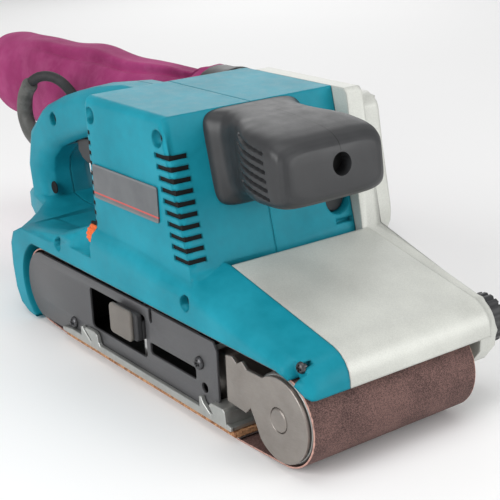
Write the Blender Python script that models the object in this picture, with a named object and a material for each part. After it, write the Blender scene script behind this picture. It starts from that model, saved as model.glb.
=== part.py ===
"""Handheld belt sander: an assembly of named pieces, in metres, +Z up.

+X points forward to the idler roller, +Y to the drive side and -Y to the open side, where
the belt is changed. The origin is the middle of the sanding face, on the work surface.
"""

import math

import bpy
import bmesh
from mathutils import Matrix, Vector

mm = 0.001

# Belt and rollers
belt_length = 609.0 * mm
belt_width = 100.0 * mm
belt_thickness = 0.8 * mm
roller_radius = 22.3 * mm
roller_lift = 1.7 * mm
axle_radius = 5.9 * mm

# Working gaps
touch_gap = 0.3 * mm
weld_distance = 0.002 * mm
running_gap = 0.1 * mm
carriage_travel = 8.0 * mm

# Platen stack, from the belt's back upwards
graphite_thickness = 0.6 * mm
backing_thickness = 0.6 * mm
cork_thickness = 2.5 * mm
shoe_thickness = 2.0 * mm
platen_rear = 26.0 * mm
platen_front_setback = 35.0 * mm
shoe_overhang = 9.5 * mm

# Motor housing
housing_height = 150.0 * mm
housing_rear = 60.0 * mm
housing_length = 80.0 * mm
housing_front_slope = 18.0 * mm
housing_right_y = -48.0 * mm
skirt_right_y = -53.0 * mm
housing_left_y = 58.0 * mm
seam_y = 5.0 * mm
wall = 3.0 * mm
vent_count = 10
vent_pitch = 5.6 * mm
vent_width = 2.6 * mm

# Motor and drive
motor_x = 103.0 * mm
motor_z = 92.0 * mm
field_radius = 34.0 * mm
armature_radius = 18.0 * mm
motor_shaft_radius = 4.0 * mm
tooth_pitch = 3.0 * mm
motor_teeth = 14
driven_teeth = 42
pulley_width = 5.0 * mm

# Frame casting
casting_left_y = 70.0 * mm
cover_depth = 11.0 * mm
deck_left_margin = -27.0 * mm
deck_thickness = 3.2 * mm

# Rear handle
handle_width = 34.0 * mm
handle_depth = 29.0 * mm

# Dust outlet and bag
nozzle_radius = 20.0 * mm
nozzle_y = 57.0 * mm
nozzle_z = 126.0 * mm
bag_length = 306.0 * mm

# Cord
cord_radius = 3.4 * mm
coil_radius = 41.0 * mm
coil_section = 11.0 * mm

# Derived places
belt_radius = roller_radius + touch_gap + belt_thickness
axis_z = belt_radius + roller_lift
belt_middle_radius = belt_radius - belt_thickness / 2
roller_spacing = (belt_length - 2 * math.pi * belt_middle_radius) / 2
x_rear = -roller_spacing / 2
x_front = roller_spacing / 2
belt_top = axis_z + belt_radius
housing_floor = belt_top + 1.6 * mm
belt_half = belt_width / 2
platen_front = roller_spacing - platen_front_setback
graphite_z = belt_thickness + touch_gap
backing_z = graphite_z + graphite_thickness + touch_gap
cork_z = backing_z + backing_thickness + touch_gap
shoe_z = cork_z + cork_thickness + touch_gap
frame_floor = shoe_z + shoe_thickness + touch_gap
driven_radius = driven_teeth * tooth_pitch / (2 * math.pi)
pinion_radius = motor_teeth * tooth_pitch / (2 * math.pi)
housing_front = housing_rear + housing_length
cover_right_y = casting_left_y + touch_gap
cover_left_y = cover_right_y + cover_depth
pulley_y = cover_right_y + 1.5 * mm

for old in list(bpy.data.objects):
    bpy.data.objects.remove(old, do_unlink=True)


def paint(name, colour, roughness, metallic=0.0):
    material = bpy.data.materials.new(name)
    material.use_nodes = True
    shader = material.node_tree.nodes["Principled BSDF"]
    shader.inputs["Base Color"].default_value = (*colour, 1.0)
    shader.inputs["Roughness"].default_value = roughness
    shader.inputs["Metallic"].default_value = metallic
    material.diffuse_color = (*colour, 1.0)
    return material


TEAL = paint("teal_plastic", (0.012, 0.30, 0.38), 0.42)
GRIP = paint("grip_plastic", (0.03, 0.03, 0.035), 0.55)
SILVER = paint("silver_paint", (0.52, 0.53, 0.50), 0.45, 0.2)
CASTING = paint("cast_aluminium", (0.45, 0.46, 0.44), 0.5, 0.8)
PLATE = paint("dark_plate", (0.11, 0.11, 0.115), 0.5, 0.3)
BRACKET = paint("bracket_plate", (0.27, 0.26, 0.24), 0.45, 0.5)
STEEL = paint("steel", (0.55, 0.55, 0.55), 0.3, 1.0)
COPPER = paint("copper", (0.7, 0.35, 0.2), 0.35, 1.0)
RUBBER = paint("black_rubber", (0.02, 0.02, 0.02), 0.75)
GRIT = paint("abrasive", (0.12, 0.065, 0.06), 0.9)
CORK = paint("cork", (0.42, 0.20, 0.09), 0.85)
GRAPHITE = paint("graphite_cloth", (0.04, 0.04, 0.045), 0.6)
ORANGE = paint("orange_plastic", (0.85, 0.16, 0.04), 0.4)
LABEL = paint("label_foil", (0.14, 0.16, 0.17), 0.35, 0.3)
CLOTH = paint("magenta_cloth", (0.30, 0.02, 0.10), 0.9)
LEVER = paint("lever_plastic", (0.09, 0.09, 0.09), 0.5)


# ---- modelling helpers -------------------------------------------------------------

def rear(x):
    """X of a place measured in millimetres forward of the drive roller's axis."""
    return x_rear + x * mm


def front(x):
    """X of a place measured in millimetres forward of the idler roller's axis."""
    return x_front + x * mm


def finish(name, bm, material, parent=None):
    bmesh.ops.recalc_face_normals(bm, faces=bm.faces)
    mesh = bpy.data.meshes.new(name)
    bm.to_mesh(mesh)
    bm.free()
    mesh.materials.append(material)
    obj = bpy.data.objects.new(name, mesh)
    bpy.context.scene.collection.objects.link(obj)
    return obj


def soften(bm, edges, width, segments):
    bmesh.ops.bevel(bm, geom=edges, offset=width, segments=segments, profile=0.5,
                    affect="EDGES", clamp_overlap=True)


def placed(axis, u, v, t):
    """A point of an outline (u, v) at t along the axis that it is extruded on."""
    return {"x": (t, u, v), "y": (u, t, v), "z": (u, v, t)}[axis]


def extrude(name, outline, axis, low, high, material, bevel=0.0, segments=1, ends="both"):
    """A prism of the outline; bevel rounds the rims of its low, high or both ends."""
    bm = bmesh.new()
    lower = [bm.verts.new(placed(axis, u, v, low)) for u, v in outline]
    upper = [bm.verts.new(placed(axis, u, v, high)) for u, v in outline]
    caps = {"low": bm.faces.new(lower), "high": bm.faces.new(upper[::-1])}
    for i in range(len(outline)):
        j = (i + 1) % len(outline)
        bm.faces.new((lower[i], upper[i], upper[j], lower[j]))
    if bevel:
        picked = set()
        for key, cap in caps.items():
            if ends in ("both", key):
                picked.update(cap.edges)
        soften(bm, list(picked), bevel, segments)
    return finish(name, bm, material)


def box(name, low, high, material, bevel=0.0, segments=1):
    bm = bmesh.new()
    bmesh.ops.create_cube(bm, size=1.0)
    size = Vector(high) - Vector(low)
    middle = (Vector(high) + Vector(low)) / 2
    bm.transform(Matrix.Translation(middle) @ Matrix.Diagonal((*size, 1.0)))
    if bevel:
        soften(bm, bm.edges[:], bevel, segments)
    return finish(name, bm, material)


def turned(name, profile, centre, axis, material, steps=32):
    """A solid turned about an axis through centre; the profile holds (radius, place) pairs."""
    bm = bmesh.new()
    along = Vector(axis).normalized()
    side = along.orthogonal().normalized()
    other = along.cross(side)
    rings = []
    for radius, t in profile:
        middle = Vector(centre) + along * t
        if radius == 0:
            rings.append([bm.verts.new(middle)])
            continue
        ring = []
        for i in range(steps):
            a = 2 * math.pi * i / steps
            ring.append(bm.verts.new(middle + (side * math.cos(a) + other * math.sin(a)) * radius))
        rings.append(ring)
    closed = profile[0][0] > 0 and profile[-1][0] > 0
    pairs = list(zip(rings, rings[1:]))
    if closed:
        pairs.append((rings[-1], rings[0]))
    for one, two in pairs:
        for i in range(steps):
            j = (i + 1) % steps
            corners = [one[i % len(one)], one[j % len(one)], two[j % len(two)], two[i % len(two)]]
            kept = [v for k, v in enumerate(corners) if v not in corners[:k]]
            bm.faces.new(kept)
    return finish(name, bm, material)


def tube(name, inner, outer, low, high, centre, axis, material, steps=32):
    profile = [(inner, low), (outer, low), (outer, high), (inner, high)]
    return turned(name, profile, centre, axis, material, steps)


def rod(name, radius, low, high, centre, axis, material, steps=24, chamfer=0.0):
    profile = [(0, low), (radius - chamfer, low), (radius, low + chamfer),
               (radius, high - chamfer), (radius - chamfer, high), (0, high)]
    if not chamfer:
        profile = [(0, low), (radius, low), (radius, high), (0, high)]
    return turned(name, profile, centre, axis, material, steps)


def loft(name, rings, material):
    bm = bmesh.new()
    rows = [[bm.verts.new(p) for p in ring] for ring in rings]
    for one, two in zip(rows, rows[1:]):
        for i in range(len(one)):
            j = (i + 1) % len(one)
            bm.faces.new((one[i], one[j], two[j], two[i]))
    bm.faces.new(rows[0][::-1])
    bm.faces.new(rows[-1])
    return finish(name, bm, material)


def superellipse(half_u, half_v, power, count):
    """A rounded rectangle's outline; power 2 is an ellipse and more is squarer."""
    points = []
    for i in range(count):
        a = 2 * math.pi * (i + 0.5) / count
        c, s = math.cos(a), math.sin(a)
        u = half_u * math.copysign(abs(c) ** (2 / power), c)
        v = half_v * math.copysign(abs(s) ** (2 / power), s)
        points.append((u, v))
    return points


def arc(cx, cz, radius, start, end, steps):
    """Points on an arc from start to end degrees, both ends included."""
    points = []
    for i in range(steps + 1):
        a = math.radians(start + (end - start) * i / steps)
        points.append((cx + radius * math.cos(a), cz + radius * math.sin(a)))
    return points


def rounded(outline, radius, steps=3):
    """The outline with each corner replaced by a small arc-like curve."""
    result = []
    count = len(outline)
    for i, corner in enumerate(outline):
        here = Vector(corner)
        before = Vector(outline[i - 1]) - here
        after = Vector(outline[(i + 1) % count]) - here
        cut = min(radius, before.length * 0.45, after.length * 0.45)
        one = here + before.normalized() * cut
        two = here + after.normalized() * cut
        for k in range(steps + 1):
            t = k / steps
            result.append(tuple(one * (1 - t) ** 2 + here * (2 * t * (1 - t)) + two * t ** 2))
    return result


def smooth_path(points, per_span):
    """A Catmull-Rom curve through the points."""
    pts = [Vector(p) for p in points]
    pts = [pts[0] * 2 - pts[1]] + pts + [pts[-1] * 2 - pts[-2]]
    result = []
    for i in range(1, len(pts) - 2):
        a, b, c, d = pts[i - 1:i + 3]
        for k in range(per_span):
            t = k / per_span
            result.append(0.5 * ((2 * b) + (c - a) * t + (2 * a - 5 * b + 4 * c - d) * t ** 2
                                 + (3 * b - a - 3 * c + d) * t ** 3))
    result.append(pts[-2])
    return result


def tidy(mesh):
    """Welds slivers and says whether every edge then joins exactly two faces."""
    bm = bmesh.new()
    bm.from_mesh(mesh)
    bmesh.ops.triangulate(bm, faces=[face for face in bm.faces if len(face.verts) > 3])
    bmesh.ops.remove_doubles(bm, verts=bm.verts, dist=weld_distance)
    bmesh.ops.dissolve_degenerate(bm, edges=bm.edges, dist=weld_distance)
    whole = all(edge.is_manifold for edge in bm.edges)
    bm.to_mesh(mesh)
    bm.free()
    return whole


def boolean(target, tools, operation, solvers=("EXACT", "MANIFOLD")):
    """Applies a Boolean of each tool on the target, exact unless flush faces tear it."""
    for tool in tools:
        modifier = target.modifiers.new("boolean", "BOOLEAN")
        modifier.operation = operation
        modifier.object = tool
        for solver in solvers:
            modifier.solver = solver
            bpy.context.view_layer.update()
            graph = bpy.context.evaluated_depsgraph_get()
            mesh = bpy.data.meshes.new_from_object(target.evaluated_get(graph))
            whole = tidy(mesh)
            if whole:
                break
        target.modifiers.clear()
        target.data = mesh
        bpy.data.objects.remove(tool, do_unlink=True)
    return target


def cut(target, *tools):
    return boolean(target, tools, "DIFFERENCE")


def split_at_seam(blank, right_name, left_name):
    """Parts a solid at the seam plane into its right and left halves."""
    left = copy_of(blank, left_name)
    blank.name = right_name
    reach = 0.6
    half_gap = touch_gap / 2
    for piece, low, high in ((blank, seam_y - half_gap, reach), (left, -reach, seam_y + half_gap)):
        side = box("side", (-reach, low, -reach), (reach, high, reach), TEAL)
        boolean(piece, [side], "DIFFERENCE", ("MANIFOLD",))
    return blank, left


def fuse(target, *tools):
    return boolean(target, tools, "UNION")


def bore(target, radius, centre, axis, low, high, steps=24):
    return cut(target, rod("cutter", radius, low, high, centre, axis, STEEL, steps))


def copy_of(source, name):
    other = bpy.data.objects.new(name, source.data.copy())
    bpy.context.scene.collection.objects.link(other)
    return other


def pivot(obj, centre):
    """Puts the object's origin on its joint's axis, with its shape where it was."""
    centre = Vector(centre)
    obj.data.transform(Matrix.Translation(-centre))
    obj.location = centre


def smooth_all(angle=35):
    for obj in bpy.data.objects:
        if obj.type == "MESH":
            obj.data.shade_smooth()
            obj.data.set_sharp_from_angle(angle=math.radians(angle))


# ---- sanding belt, rollers and platen ---------------------------------------------

def belt_loop(offset):
    """The belt's side outline, offset inwards from its outer face: round each roller,
    then down to the platen's flat and up again."""
    radius = belt_radius - offset
    drop = math.degrees(math.atan2(roller_lift, platen_rear + 2 * mm))
    rise = math.degrees(math.atan2(roller_lift, platen_front_setback - 4 * mm))
    points = arc(x_rear, axis_z, radius, 90, 270 - drop, 18)
    points.append((x_rear + platen_rear, offset))
    points.append((x_rear + platen_front, offset))
    points += arc(x_front, axis_z, radius, -90 + rise, 90, 18)
    return points


def sanding_belt():
    bm = bmesh.new()
    outer, inner = belt_loop(0.0), belt_loop(belt_thickness)
    rows = []
    for loop, y in ((outer, -belt_half), (outer, belt_half), (inner, belt_half), (inner, -belt_half)):
        rows.append([bm.verts.new((x, y, z)) for x, z in loop])
    for k in range(4):
        one, two = rows[k], rows[(k + 1) % 4]
        for i in range(len(one)):
            j = (i + 1) % len(one)
            bm.faces.new((one[i], one[j], two[j], two[i]))
    return finish("sanding_belt", bm, GRIT)


def rollers():
    y = (0, 1, 0)
    middle = (x_rear, 0, axis_z)
    right_end, left_end = -belt_half + 5.5 * mm, belt_half - 0.5 * mm
    hub = axle_radius + touch_gap
    lip = roller_radius - 4 * mm
    profile = [(hub, right_end), (lip - 2 * mm, right_end), (lip, right_end + 2 * mm),
               (roller_radius - 1 * mm, right_end), (roller_radius, right_end + 1 * mm),
               (roller_radius, left_end - 1 * mm), (roller_radius - 1 * mm, left_end),
               (hub, left_end)]
    turned("drive_roller", profile, middle, y, RUBBER, 28)
    rod("drive_shaft", axle_radius, -belt_half + 0.6 * mm, pulley_y + pulley_width + 1 * mm,
        middle, y, STEEL, 24, 0.8 * mm)
    middle = (x_front, 0, axis_z)
    end = belt_half - 0.4 * mm
    crown = roller_radius - 0.3 * mm
    hub = axle_radius + running_gap
    profile = [(hub, -end), (crown - 0.8 * mm, -end), (crown, -end + 0.8 * mm),
               (roller_radius, -end * 0.3), (roller_radius, end * 0.3),
               (crown, end - 0.8 * mm), (crown - 0.8 * mm, end), (hub, end)]
    turned("idler_roller", profile, middle, y, CASTING, 28)
    rod("idler_axle", axle_radius, bracket_outer_y - 0.4 * mm, bracket_left_y + 3 * mm,
        middle, y, STEEL, 24, 0.6 * mm)


def platen():
    left = belt_half - 1 * mm
    low, high = x_rear + platen_rear, x_rear + platen_front
    right = -belt_half
    box("graphite_pad", (low, right, graphite_z),
        (high, left, graphite_z + graphite_thickness), GRAPHITE)
    box("backing_plate", (low - 1 * mm, right - 1.5 * mm, backing_z),
        (high + 1 * mm, left, backing_z + backing_thickness), STEEL)
    box("cork_pad", (low, right - 3 * mm, cork_z),
        (high + 1 * mm, left, cork_z + cork_thickness), CORK)
    shoe = box("platen_shoe", (low - 2 * mm, right - shoe_overhang, shoe_z),
               (high + 4 * mm, left + 4 * mm, shoe_z + shoe_thickness), CASTING, 0.5 * mm)
    rim_y = right - shoe_overhang
    rim_top = shoe_z + shoe_thickness + 2.2 * mm
    slope_start, slope_end = low + 12 * mm, high - 14 * mm
    rim = [(low - 2 * mm, shoe_z + 0.4 * mm), (high + 4 * mm, shoe_z + 0.4 * mm),
           (high + 4 * mm, shoe_z + shoe_thickness), (slope_end, rim_top),
           (slope_start, rim_top), (low - 2 * mm, shoe_z + shoe_thickness)]
    fuse(shoe, extrude("rim", rim, "y", rim_y, rim_y + 1.8 * mm, CASTING))
    # Bent lugs that clip the shoe under the side plate: one N-shaped, two plain.
    for start, width, rise in ((24, 4, 5.5), (40, 4, 5.5), (149, 12, 5.0), (164, 9, 6.5)):
        lug_low = low + start * mm
        lug = box("lug", (lug_low, plate_outer_y - 3 * mm, shoe_z + 1 * mm),
                  (lug_low + width * mm, plate_outer_y - touch_gap, shoe_z + (2 + rise) * mm), CASTING)
        fuse(shoe, lug)
    brace = [(low + 27 * mm, shoe_z + 6.6 * mm), (low + 30 * mm, shoe_z + 6.6 * mm),
             (low + 42 * mm, shoe_z + 3 * mm), (low + 39 * mm, shoe_z + 3 * mm)]
    fuse(shoe, extrude("brace", brace, "y", plate_outer_y - 2.6 * mm, plate_outer_y - 0.7 * mm, CASTING))


# ---- inner frame, side plate and idler carriage -----------------------------------

plate_outer_y = -belt_half - 2.0 * mm
plate_inner_y = plate_outer_y + 1.5 * mm
frame_right_y = plate_inner_y + touch_gap
frame_top = belt_top - belt_thickness - 3.2 * mm
frame_rear = x_rear + 28 * mm
frame_front = x_front - 60 * mm
pocket_rear = frame_rear + 6 * mm
pocket_low = frame_floor + 3.5 * mm
pocket_high = frame_top - 3.5 * mm
pocket_left_y = belt_half
bracket_outer_y = -belt_half - 2.2 * mm
bracket_inner_y = -belt_half - touch_gap + 0.2 * mm
bracket_left_y = belt_half + 1.0 * mm
bearing_outer = 11.0 * mm
lever_x = rear(108)
lever_y = plate_inner_y + 4.5 * mm
lever_pin_radius = 1.9 * mm
yoke_x = front(-78)
bracket_radius = 21.0 * mm
tracking_x = front(-2)
tracking_z = axis_z + 13.5 * mm


def inner_frame():
    outline = [(frame_rear, frame_floor), (frame_front, frame_floor),
               (frame_front, frame_top), (frame_rear, frame_top)]
    outline = rounded(outline, 2 * mm, 2)
    left = housing_left_y - touch_gap
    frame = extrude("inner_frame", outline, "y", frame_right_y, left, CASTING)
    arm = arc(x_rear, axis_z, 17 * mm, 90, 270, 12)
    arm += [(frame_rear + 3 * mm, axis_z - 15 * mm), (frame_rear + 3 * mm, axis_z + 15 * mm)]
    arm_left = -belt_half + 5.2 * mm
    fuse(frame, extrude("arm", arm, "y", frame_right_y, arm_left, CASTING))
    cut(frame, box("pocket", (pocket_rear, frame_right_y - 1 * mm, pocket_low),
                   (frame_front + 1 * mm, pocket_left_y, pocket_high), CASTING))
    bore(frame, bearing_outer + touch_gap, (x_rear, 0, axis_z), (0, 1, 0),
         frame_right_y - 1 * mm, arm_left + 1 * mm)
    bore(frame, lever_pin_radius + touch_gap, (lever_x, lever_y, 0), (0, 0, 1),
         frame_floor + 1 * mm, frame_top + 1 * mm, 12)
    return frame


def side_plate():
    """Sheet cover with a rear arc, the lever's window and the long slot ahead of it."""
    edge_x = front(-49)
    low = frame_floor + 1.5 * mm
    rear_arc = arc(x_rear, axis_z, bracket_radius + 0.4 * mm, 100, 250, 14)
    outline = rear_arc + [(rear(10), low), (edge_x - 3 * mm, low), (edge_x, low + 3 * mm),
                          (edge_x, frame_top - 4 * mm), (edge_x - 3 * mm, frame_top)]
    notch = rear(122.5)
    outline += [(notch + 1.6 * mm, frame_top), (notch + 1.6 * mm, frame_top - 8 * mm),
                (notch - 1.6 * mm, frame_top - 8 * mm), (notch - 1.6 * mm, frame_top)]
    plate = extrude("side_plate", outline, "y", plate_outer_y, plate_inner_y, PLATE)
    window = rounded([(rear(57), rear_low), (rear(117), rear_low),
                      (rear(117), window_top), (rear(57), window_top)], 3 * mm)
    slot = rounded([(rear(115), 21.5 * mm), (rear(164), 21.5 * mm),
                    (rear(164), 28 * mm), (rear(115), 28 * mm)], 1.5 * mm)
    y0, y1 = plate_outer_y - 1 * mm, plate_inner_y + 1 * mm
    cut(plate, extrude("window", window, "y", y0, y1, PLATE),
        extrude("slot", slot, "y", y0, y1, PLATE))
    bore(plate, 2.75 * mm, (rear(171.5), 0, 19.7 * mm), (0, 1, 0), y0, y1, 16)
    for x, z in side_screws:
        bore(plate, 2.1 * mm, (x, 0, z), (0, 1, 0), y0, y1, 12)
    return plate


rear_low = 17.5 * mm
window_top = 38.5 * mm
side_screws = [(rear(35.6), 13.4 * mm), (rear(168.3), 32.3 * mm)]


def screw(name, centre, axis, head_radius=3.6 * mm, head_height=2.2 * mm, shank=1.7 * mm, length=4 * mm):
    """A pan-head screw whose head's seat is at centre, with its shank against the axis."""
    profile = [(0, -length), (shank, -length), (shank, 0), (head_radius, 0),
               (head_radius, head_height * 0.4), (head_radius * 0.7, head_height * 0.9),
               (0, head_height)]
    return turned(name, profile, centre, axis, STEEL, 12)


def side_fasteners(frame):
    for i, (x, z) in enumerate(side_screws):
        bore(frame, 1.7 * mm + touch_gap, (x, 0, z), (0, 1, 0),
             frame_right_y - 1 * mm, frame_right_y + 4 * mm, 12)
        screw(f"side_plate_screw_{i + 1}", (x, plate_outer_y - touch_gap, z), (0, -1, 0))


def carriage():
    half = 22 * mm
    low, high = pocket_low + 1.0 * mm, pocket_high - 1.0 * mm
    rear_x, front_x = yoke_x - 26 * mm, yoke_x + 6 * mm
    block = box("carriage_block", (rear_x, -half, low), (front_x, half, high), CASTING, 1 * mm)
    fuse(block, rod("boss", 5 * mm, low + 0.5 * mm, high - 0.5 * mm, (yoke_x + 12 * mm, 0, 0),
                    (0, 0, 1), CASTING, 20))
    neck = box("neck", (front_x - 2 * mm, -4 * mm, low + 3 * mm),
               (yoke_x + 12 * mm, 4 * mm, high - 3 * mm), CASTING)
    fuse(block, neck)
    seat = rod("seat", spring_radius + 1.2 * mm, -1 * mm, 6 * mm, (rear_x, 0, axis_z),
               (1, 0, 0), CASTING, 20)
    cut(block, seat)
    yoke_low, yoke_high = low + 0.8 * mm, high - 0.8 * mm
    x0, x1 = yoke_x + 19 * mm, yoke_x + 29 * mm
    yoke = box("carriage_yoke", (x0, -45.5 * mm, yoke_low), (x1, 46 * mm, yoke_high), BRACKET, 1 * mm)
    for side in (1, -1):
        ear = box("ear", (yoke_x + 7 * mm, side * 6.5 * mm - 1 * mm, yoke_low + 1.6 * mm),
                  (x0 + 1 * mm, side * 6.5 * mm + 1 * mm, yoke_high - 1.6 * mm), BRACKET)
        fuse(yoke, ear)
    return block, yoke


spring_radius = 6.0 * mm
spring_wire = 1.2 * mm
spring_turns = 5


def tension_spring(rear_end, front_end):
    """A compression spring between the frame's pocket and the carriage."""
    steps, sides = 8, 5
    total = spring_turns * steps
    rings = []
    for i in range(total + 1):
        a = 2 * math.pi * i / steps
        x = rear_end + spring_wire + (front_end - rear_end - 2 * spring_wire) * i / total
        out = Vector((0, math.cos(a), math.sin(a)))
        middle = Vector((x, 0, axis_z)) + out * spring_radius
        ring = []
        for k in range(sides):
            b = 2 * math.pi * k / sides
            ring.append(middle + out * (spring_wire * math.cos(b))
                        + Vector((1, 0, 0)) * (spring_wire * math.sin(b)))
        rings.append(ring)
    return loft("tension_spring", rings, STEEL)


def roller_brackets():
    disc = arc(x_front, axis_z, bracket_radius, -135, 125, 24)
    arm_low, arm_high = axis_z - 5 * mm, axis_z + 20 * mm
    start = front(-41)
    outline = disc + [(front(-24), arm_high - 3 * mm), (front(-28), arm_high),
                      (front(-32), arm_high - 2.5 * mm), (front(-36), arm_high),
                      (start, arm_high - 1 * mm), (start, arm_low),
                      (front(-26), arm_low - 1 * mm), (front(-22), arm_low + 3 * mm),
                      (front(-19.5), arm_low - 1 * mm)]
    right = extrude("roller_bracket_right", outline, "y", bracket_outer_y, bracket_inner_y, BRACKET)
    jog = box("jog", (yoke_x + 29 * mm + touch_gap, -45.5 * mm, axis_z - 4 * mm),
              (front(-33), -42.5 * mm, axis_z + 9 * mm), BRACKET)
    cross = box("cross", (front(-37), bracket_outer_y + 0.5 * mm, axis_z - 4 * mm),
                (front(-33), -42.5 * mm, axis_z + 9 * mm), BRACKET)
    fuse(jog, cross)
    fuse(right, jog)
    bore(right, axle_radius + touch_gap, (x_front, 0, axis_z), (0, 1, 0), -70 * mm, -45 * mm, 24)
    disc = arc(x_front, axis_z, bracket_radius - 2 * mm, -140, 140, 20)
    outline = disc + [(front(-40), axis_z + 9 * mm), (front(-40), axis_z - 4 * mm)]
    left = extrude("roller_bracket_left", outline, "y", bracket_left_y, bracket_left_y + 2.5 * mm,
                   BRACKET)
    jog = box("jog", (yoke_x + 29 * mm + touch_gap, 42.5 * mm, axis_z - 4 * mm),
              (front(-33), 45.5 * mm, axis_z + 9 * mm), BRACKET)
    cross = box("cross", (front(-37), 42.5 * mm, axis_z - 4 * mm),
                (front(-33), bracket_left_y + 2 * mm, axis_z + 9 * mm), BRACKET)
    fuse(jog, cross)
    fuse(left, jog)
    bore(left, axle_radius + touch_gap, (x_front, 0, axis_z), (0, 1, 0), 45 * mm, 70 * mm, 24)
    return right, left


def release_lever():
    """Arm in the side plate's window with a square knob to pull; it turns on an upright pin."""
    z0, z1 = 20.5 * mm, 36.5 * mm
    x0, x1 = rear(78), rear(102)
    hub = arc(lever_x, lever_y, 4.2 * mm, -90, 90, 8)
    plan = hub + [(x0 + 2 * mm, lever_y + 4.2 * mm), (x0 + 2 * mm, lever_y - 4.2 * mm)]
    arm = extrude("release_lever", plan, "z", z0 + 1 * mm, z1 - 1 * mm, LEVER)
    knob = box("knob", (x0, plate_outer_y - 9 * mm, z0), (x1, lever_y - 2 * mm, z1), LEVER, 1.6 * mm, 2)
    fuse(arm, knob)
    dish = box("dish", (x0 + 3.5 * mm, plate_outer_y - 10 * mm, z0 + 3 * mm),
               (x1 - 3.5 * mm, plate_outer_y - 8.3 * mm, z1 - 3 * mm), LEVER)
    cut(arm, dish)
    bore(arm, lever_pin_radius + running_gap, (lever_x, lever_y, 0), (0, 0, 1), 0, 60 * mm, 16)
    pivot(arm, (lever_x, lever_y, axis_z))
    pin = rod("lever_pin", lever_pin_radius, frame_floor + 1.3 * mm, frame_top - 0.5 * mm,
              (lever_x, lever_y, 0), (0, 0, 1), STEEL, 16)
    return arm, pin


# ---- frame casting and drive ----------------------------------------------------------

deck_rear = front(-68.6)
deck_high = 76 * mm
deck_low = belt_top + 9.6 * mm
deck_knee = front(9.2)
nose_radius = 15.5 * mm
nose_x = front(5.9)
nose_z = deck_low - 15.1 * mm
nose_lip = nose_z - 2 * mm
nose_clearance = belt_radius + 1.4 * mm


def deck_height(x):
    """Height of the sloping deck's upper face."""
    return deck_high + (deck_low - deck_high) * (x - deck_rear) / (deck_knee - deck_rear)


def deck_outline():
    upper = [(deck_rear, deck_high), (deck_knee, deck_low)]
    upper += arc(nose_x, nose_z, nose_radius, 70, 0, 6) + [(nose_x + nose_radius, nose_lip)]
    lower = arc(x_front, axis_z, nose_clearance, math.degrees(math.asin((nose_lip - axis_z) / nose_clearance)),
                78, 5)
    lower += [(front(0), deck_height(front(0)) - deck_thickness), (deck_rear, deck_high - deck_thickness)]
    return upper + lower


def wall_outline():
    nose = arc(nose_x - 3 * mm, nose_z - 1.5 * mm, nose_radius, 70, 0, 6)
    return [(rear(72), housing_height), (rear(150), housing_height),
            (rear(152.5), housing_height - 3 * mm), (deck_rear, deck_high),
            (deck_knee - 3 * mm, deck_low - 1 * mm)] + nose + [
            (nose_x + nose_radius - 3.4 * mm, 33 * mm), (front(12), 25 * mm), (front(4), axis_z - 5 * mm), (front(-36), frame_floor + 4 * mm),
            (rear(40), frame_floor), (rear(10), 5 * mm), (rear(-8), 8 * mm), (rear(-19), 20 * mm),
            (rear(-19), 34 * mm), (rear(-8), 44 * mm), (rear(20), 47 * mm),
            (rear(58), 78 * mm), (rear(66), 140 * mm)]


def frame_casting():
    wall_low, wall_high = housing_left_y + touch_gap, casting_left_y
    casting = extrude("frame_casting", wall_outline(), "y", wall_low, wall_high, SILVER,
                      2.0 * mm, 2, "high")
    deck = extrude("deck", deck_outline(), "y", deck_left_margin, wall_low + 4 * mm, SILVER)
    fuse(casting, deck)
    for y in (-14, 18, 46):
        rib = [(deck_rear + 2 * mm, deck_high - 2 * mm), (front(-4), deck_height(front(-4)) - 1.5 * mm),
               (front(-14), belt_top + 2.4 * mm), (deck_rear + 2 * mm, belt_top + 2.4 * mm)]
        fuse(casting, extrude("rib", rib, "y", y * mm, (y + 2.4) * mm, SILVER))
    # Openings through the wall: motor bearing, drive bearing and tracking screw.
    y = (0, 1, 0)
    low, high = wall_low - 1 * mm, wall_high + 1 * mm
    bore(casting, bearing_outer + touch_gap, (x_rear + motor_x, 0, motor_z), y, low, high)
    bore(casting, bearing_outer + touch_gap, (x_rear, 0, axis_z), y, low, high)
    bore(casting, 3 * mm + touch_gap, (tracking_x, 0, tracking_z), y, low, high, 16)
    return casting


def cover_outline():
    return [(rear(161), 80 * mm), (rear(152), 140 * mm), (rear(146), 144 * mm), (rear(76), 144 * mm),
            (rear(68), 138 * mm), (rear(60), 94 * mm), (rear(-12), 51 * mm), (rear(-26), 38 * mm),
            (rear(-28), 22 * mm), (rear(-18), 6 * mm), (rear(12), 3.5 * mm), (rear(60), 30 * mm),
            (rear(140), 62 * mm), (rear(159), 67 * mm)]


def belt_wrap(large, small, large_steps, small_steps):
    """Two arcs, round the driven pulley and the motor pulley, with their outer tangents."""
    mx = x_rear + motor_x
    link = Vector((mx - x_rear, motor_z - axis_z))
    lean = math.degrees(math.atan2(link.y, link.x))
    spread = math.degrees(math.acos((large - small) / link.length))
    loop = arc(x_rear, axis_z, large, lean + spread, lean + 360 - spread, large_steps)
    return loop + arc(mx, motor_z, small, lean - spread, lean + spread, small_steps)


def drive_cover():
    outline = rounded(cover_outline(), 5 * mm, 2)
    cover = extrude("drive_cover", outline, "y", cover_right_y, cover_left_y, SILVER, 2.0 * mm, 2, "high")
    loop = belt_wrap(driven_radius + 3.6 * mm, pinion_radius + 5 * mm, 20, 10)
    cut(cover, extrude("pocket", loop, "y", cover_right_y - 1 * mm, cover_left_y - wall, SILVER))
    return cover


def toothed_outline(cx, cz, teeth, radius, depth):
    """A toothed or knurled outline: three points a tooth."""
    points = []
    for i in range(teeth):
        for share, r in ((0.0, radius), (0.5, radius), (0.75, radius - depth)):
            a = 2 * math.pi * (i + share) / teeth
            points.append((cx + r * math.cos(a), cz + r * math.sin(a)))
    return points


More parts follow.
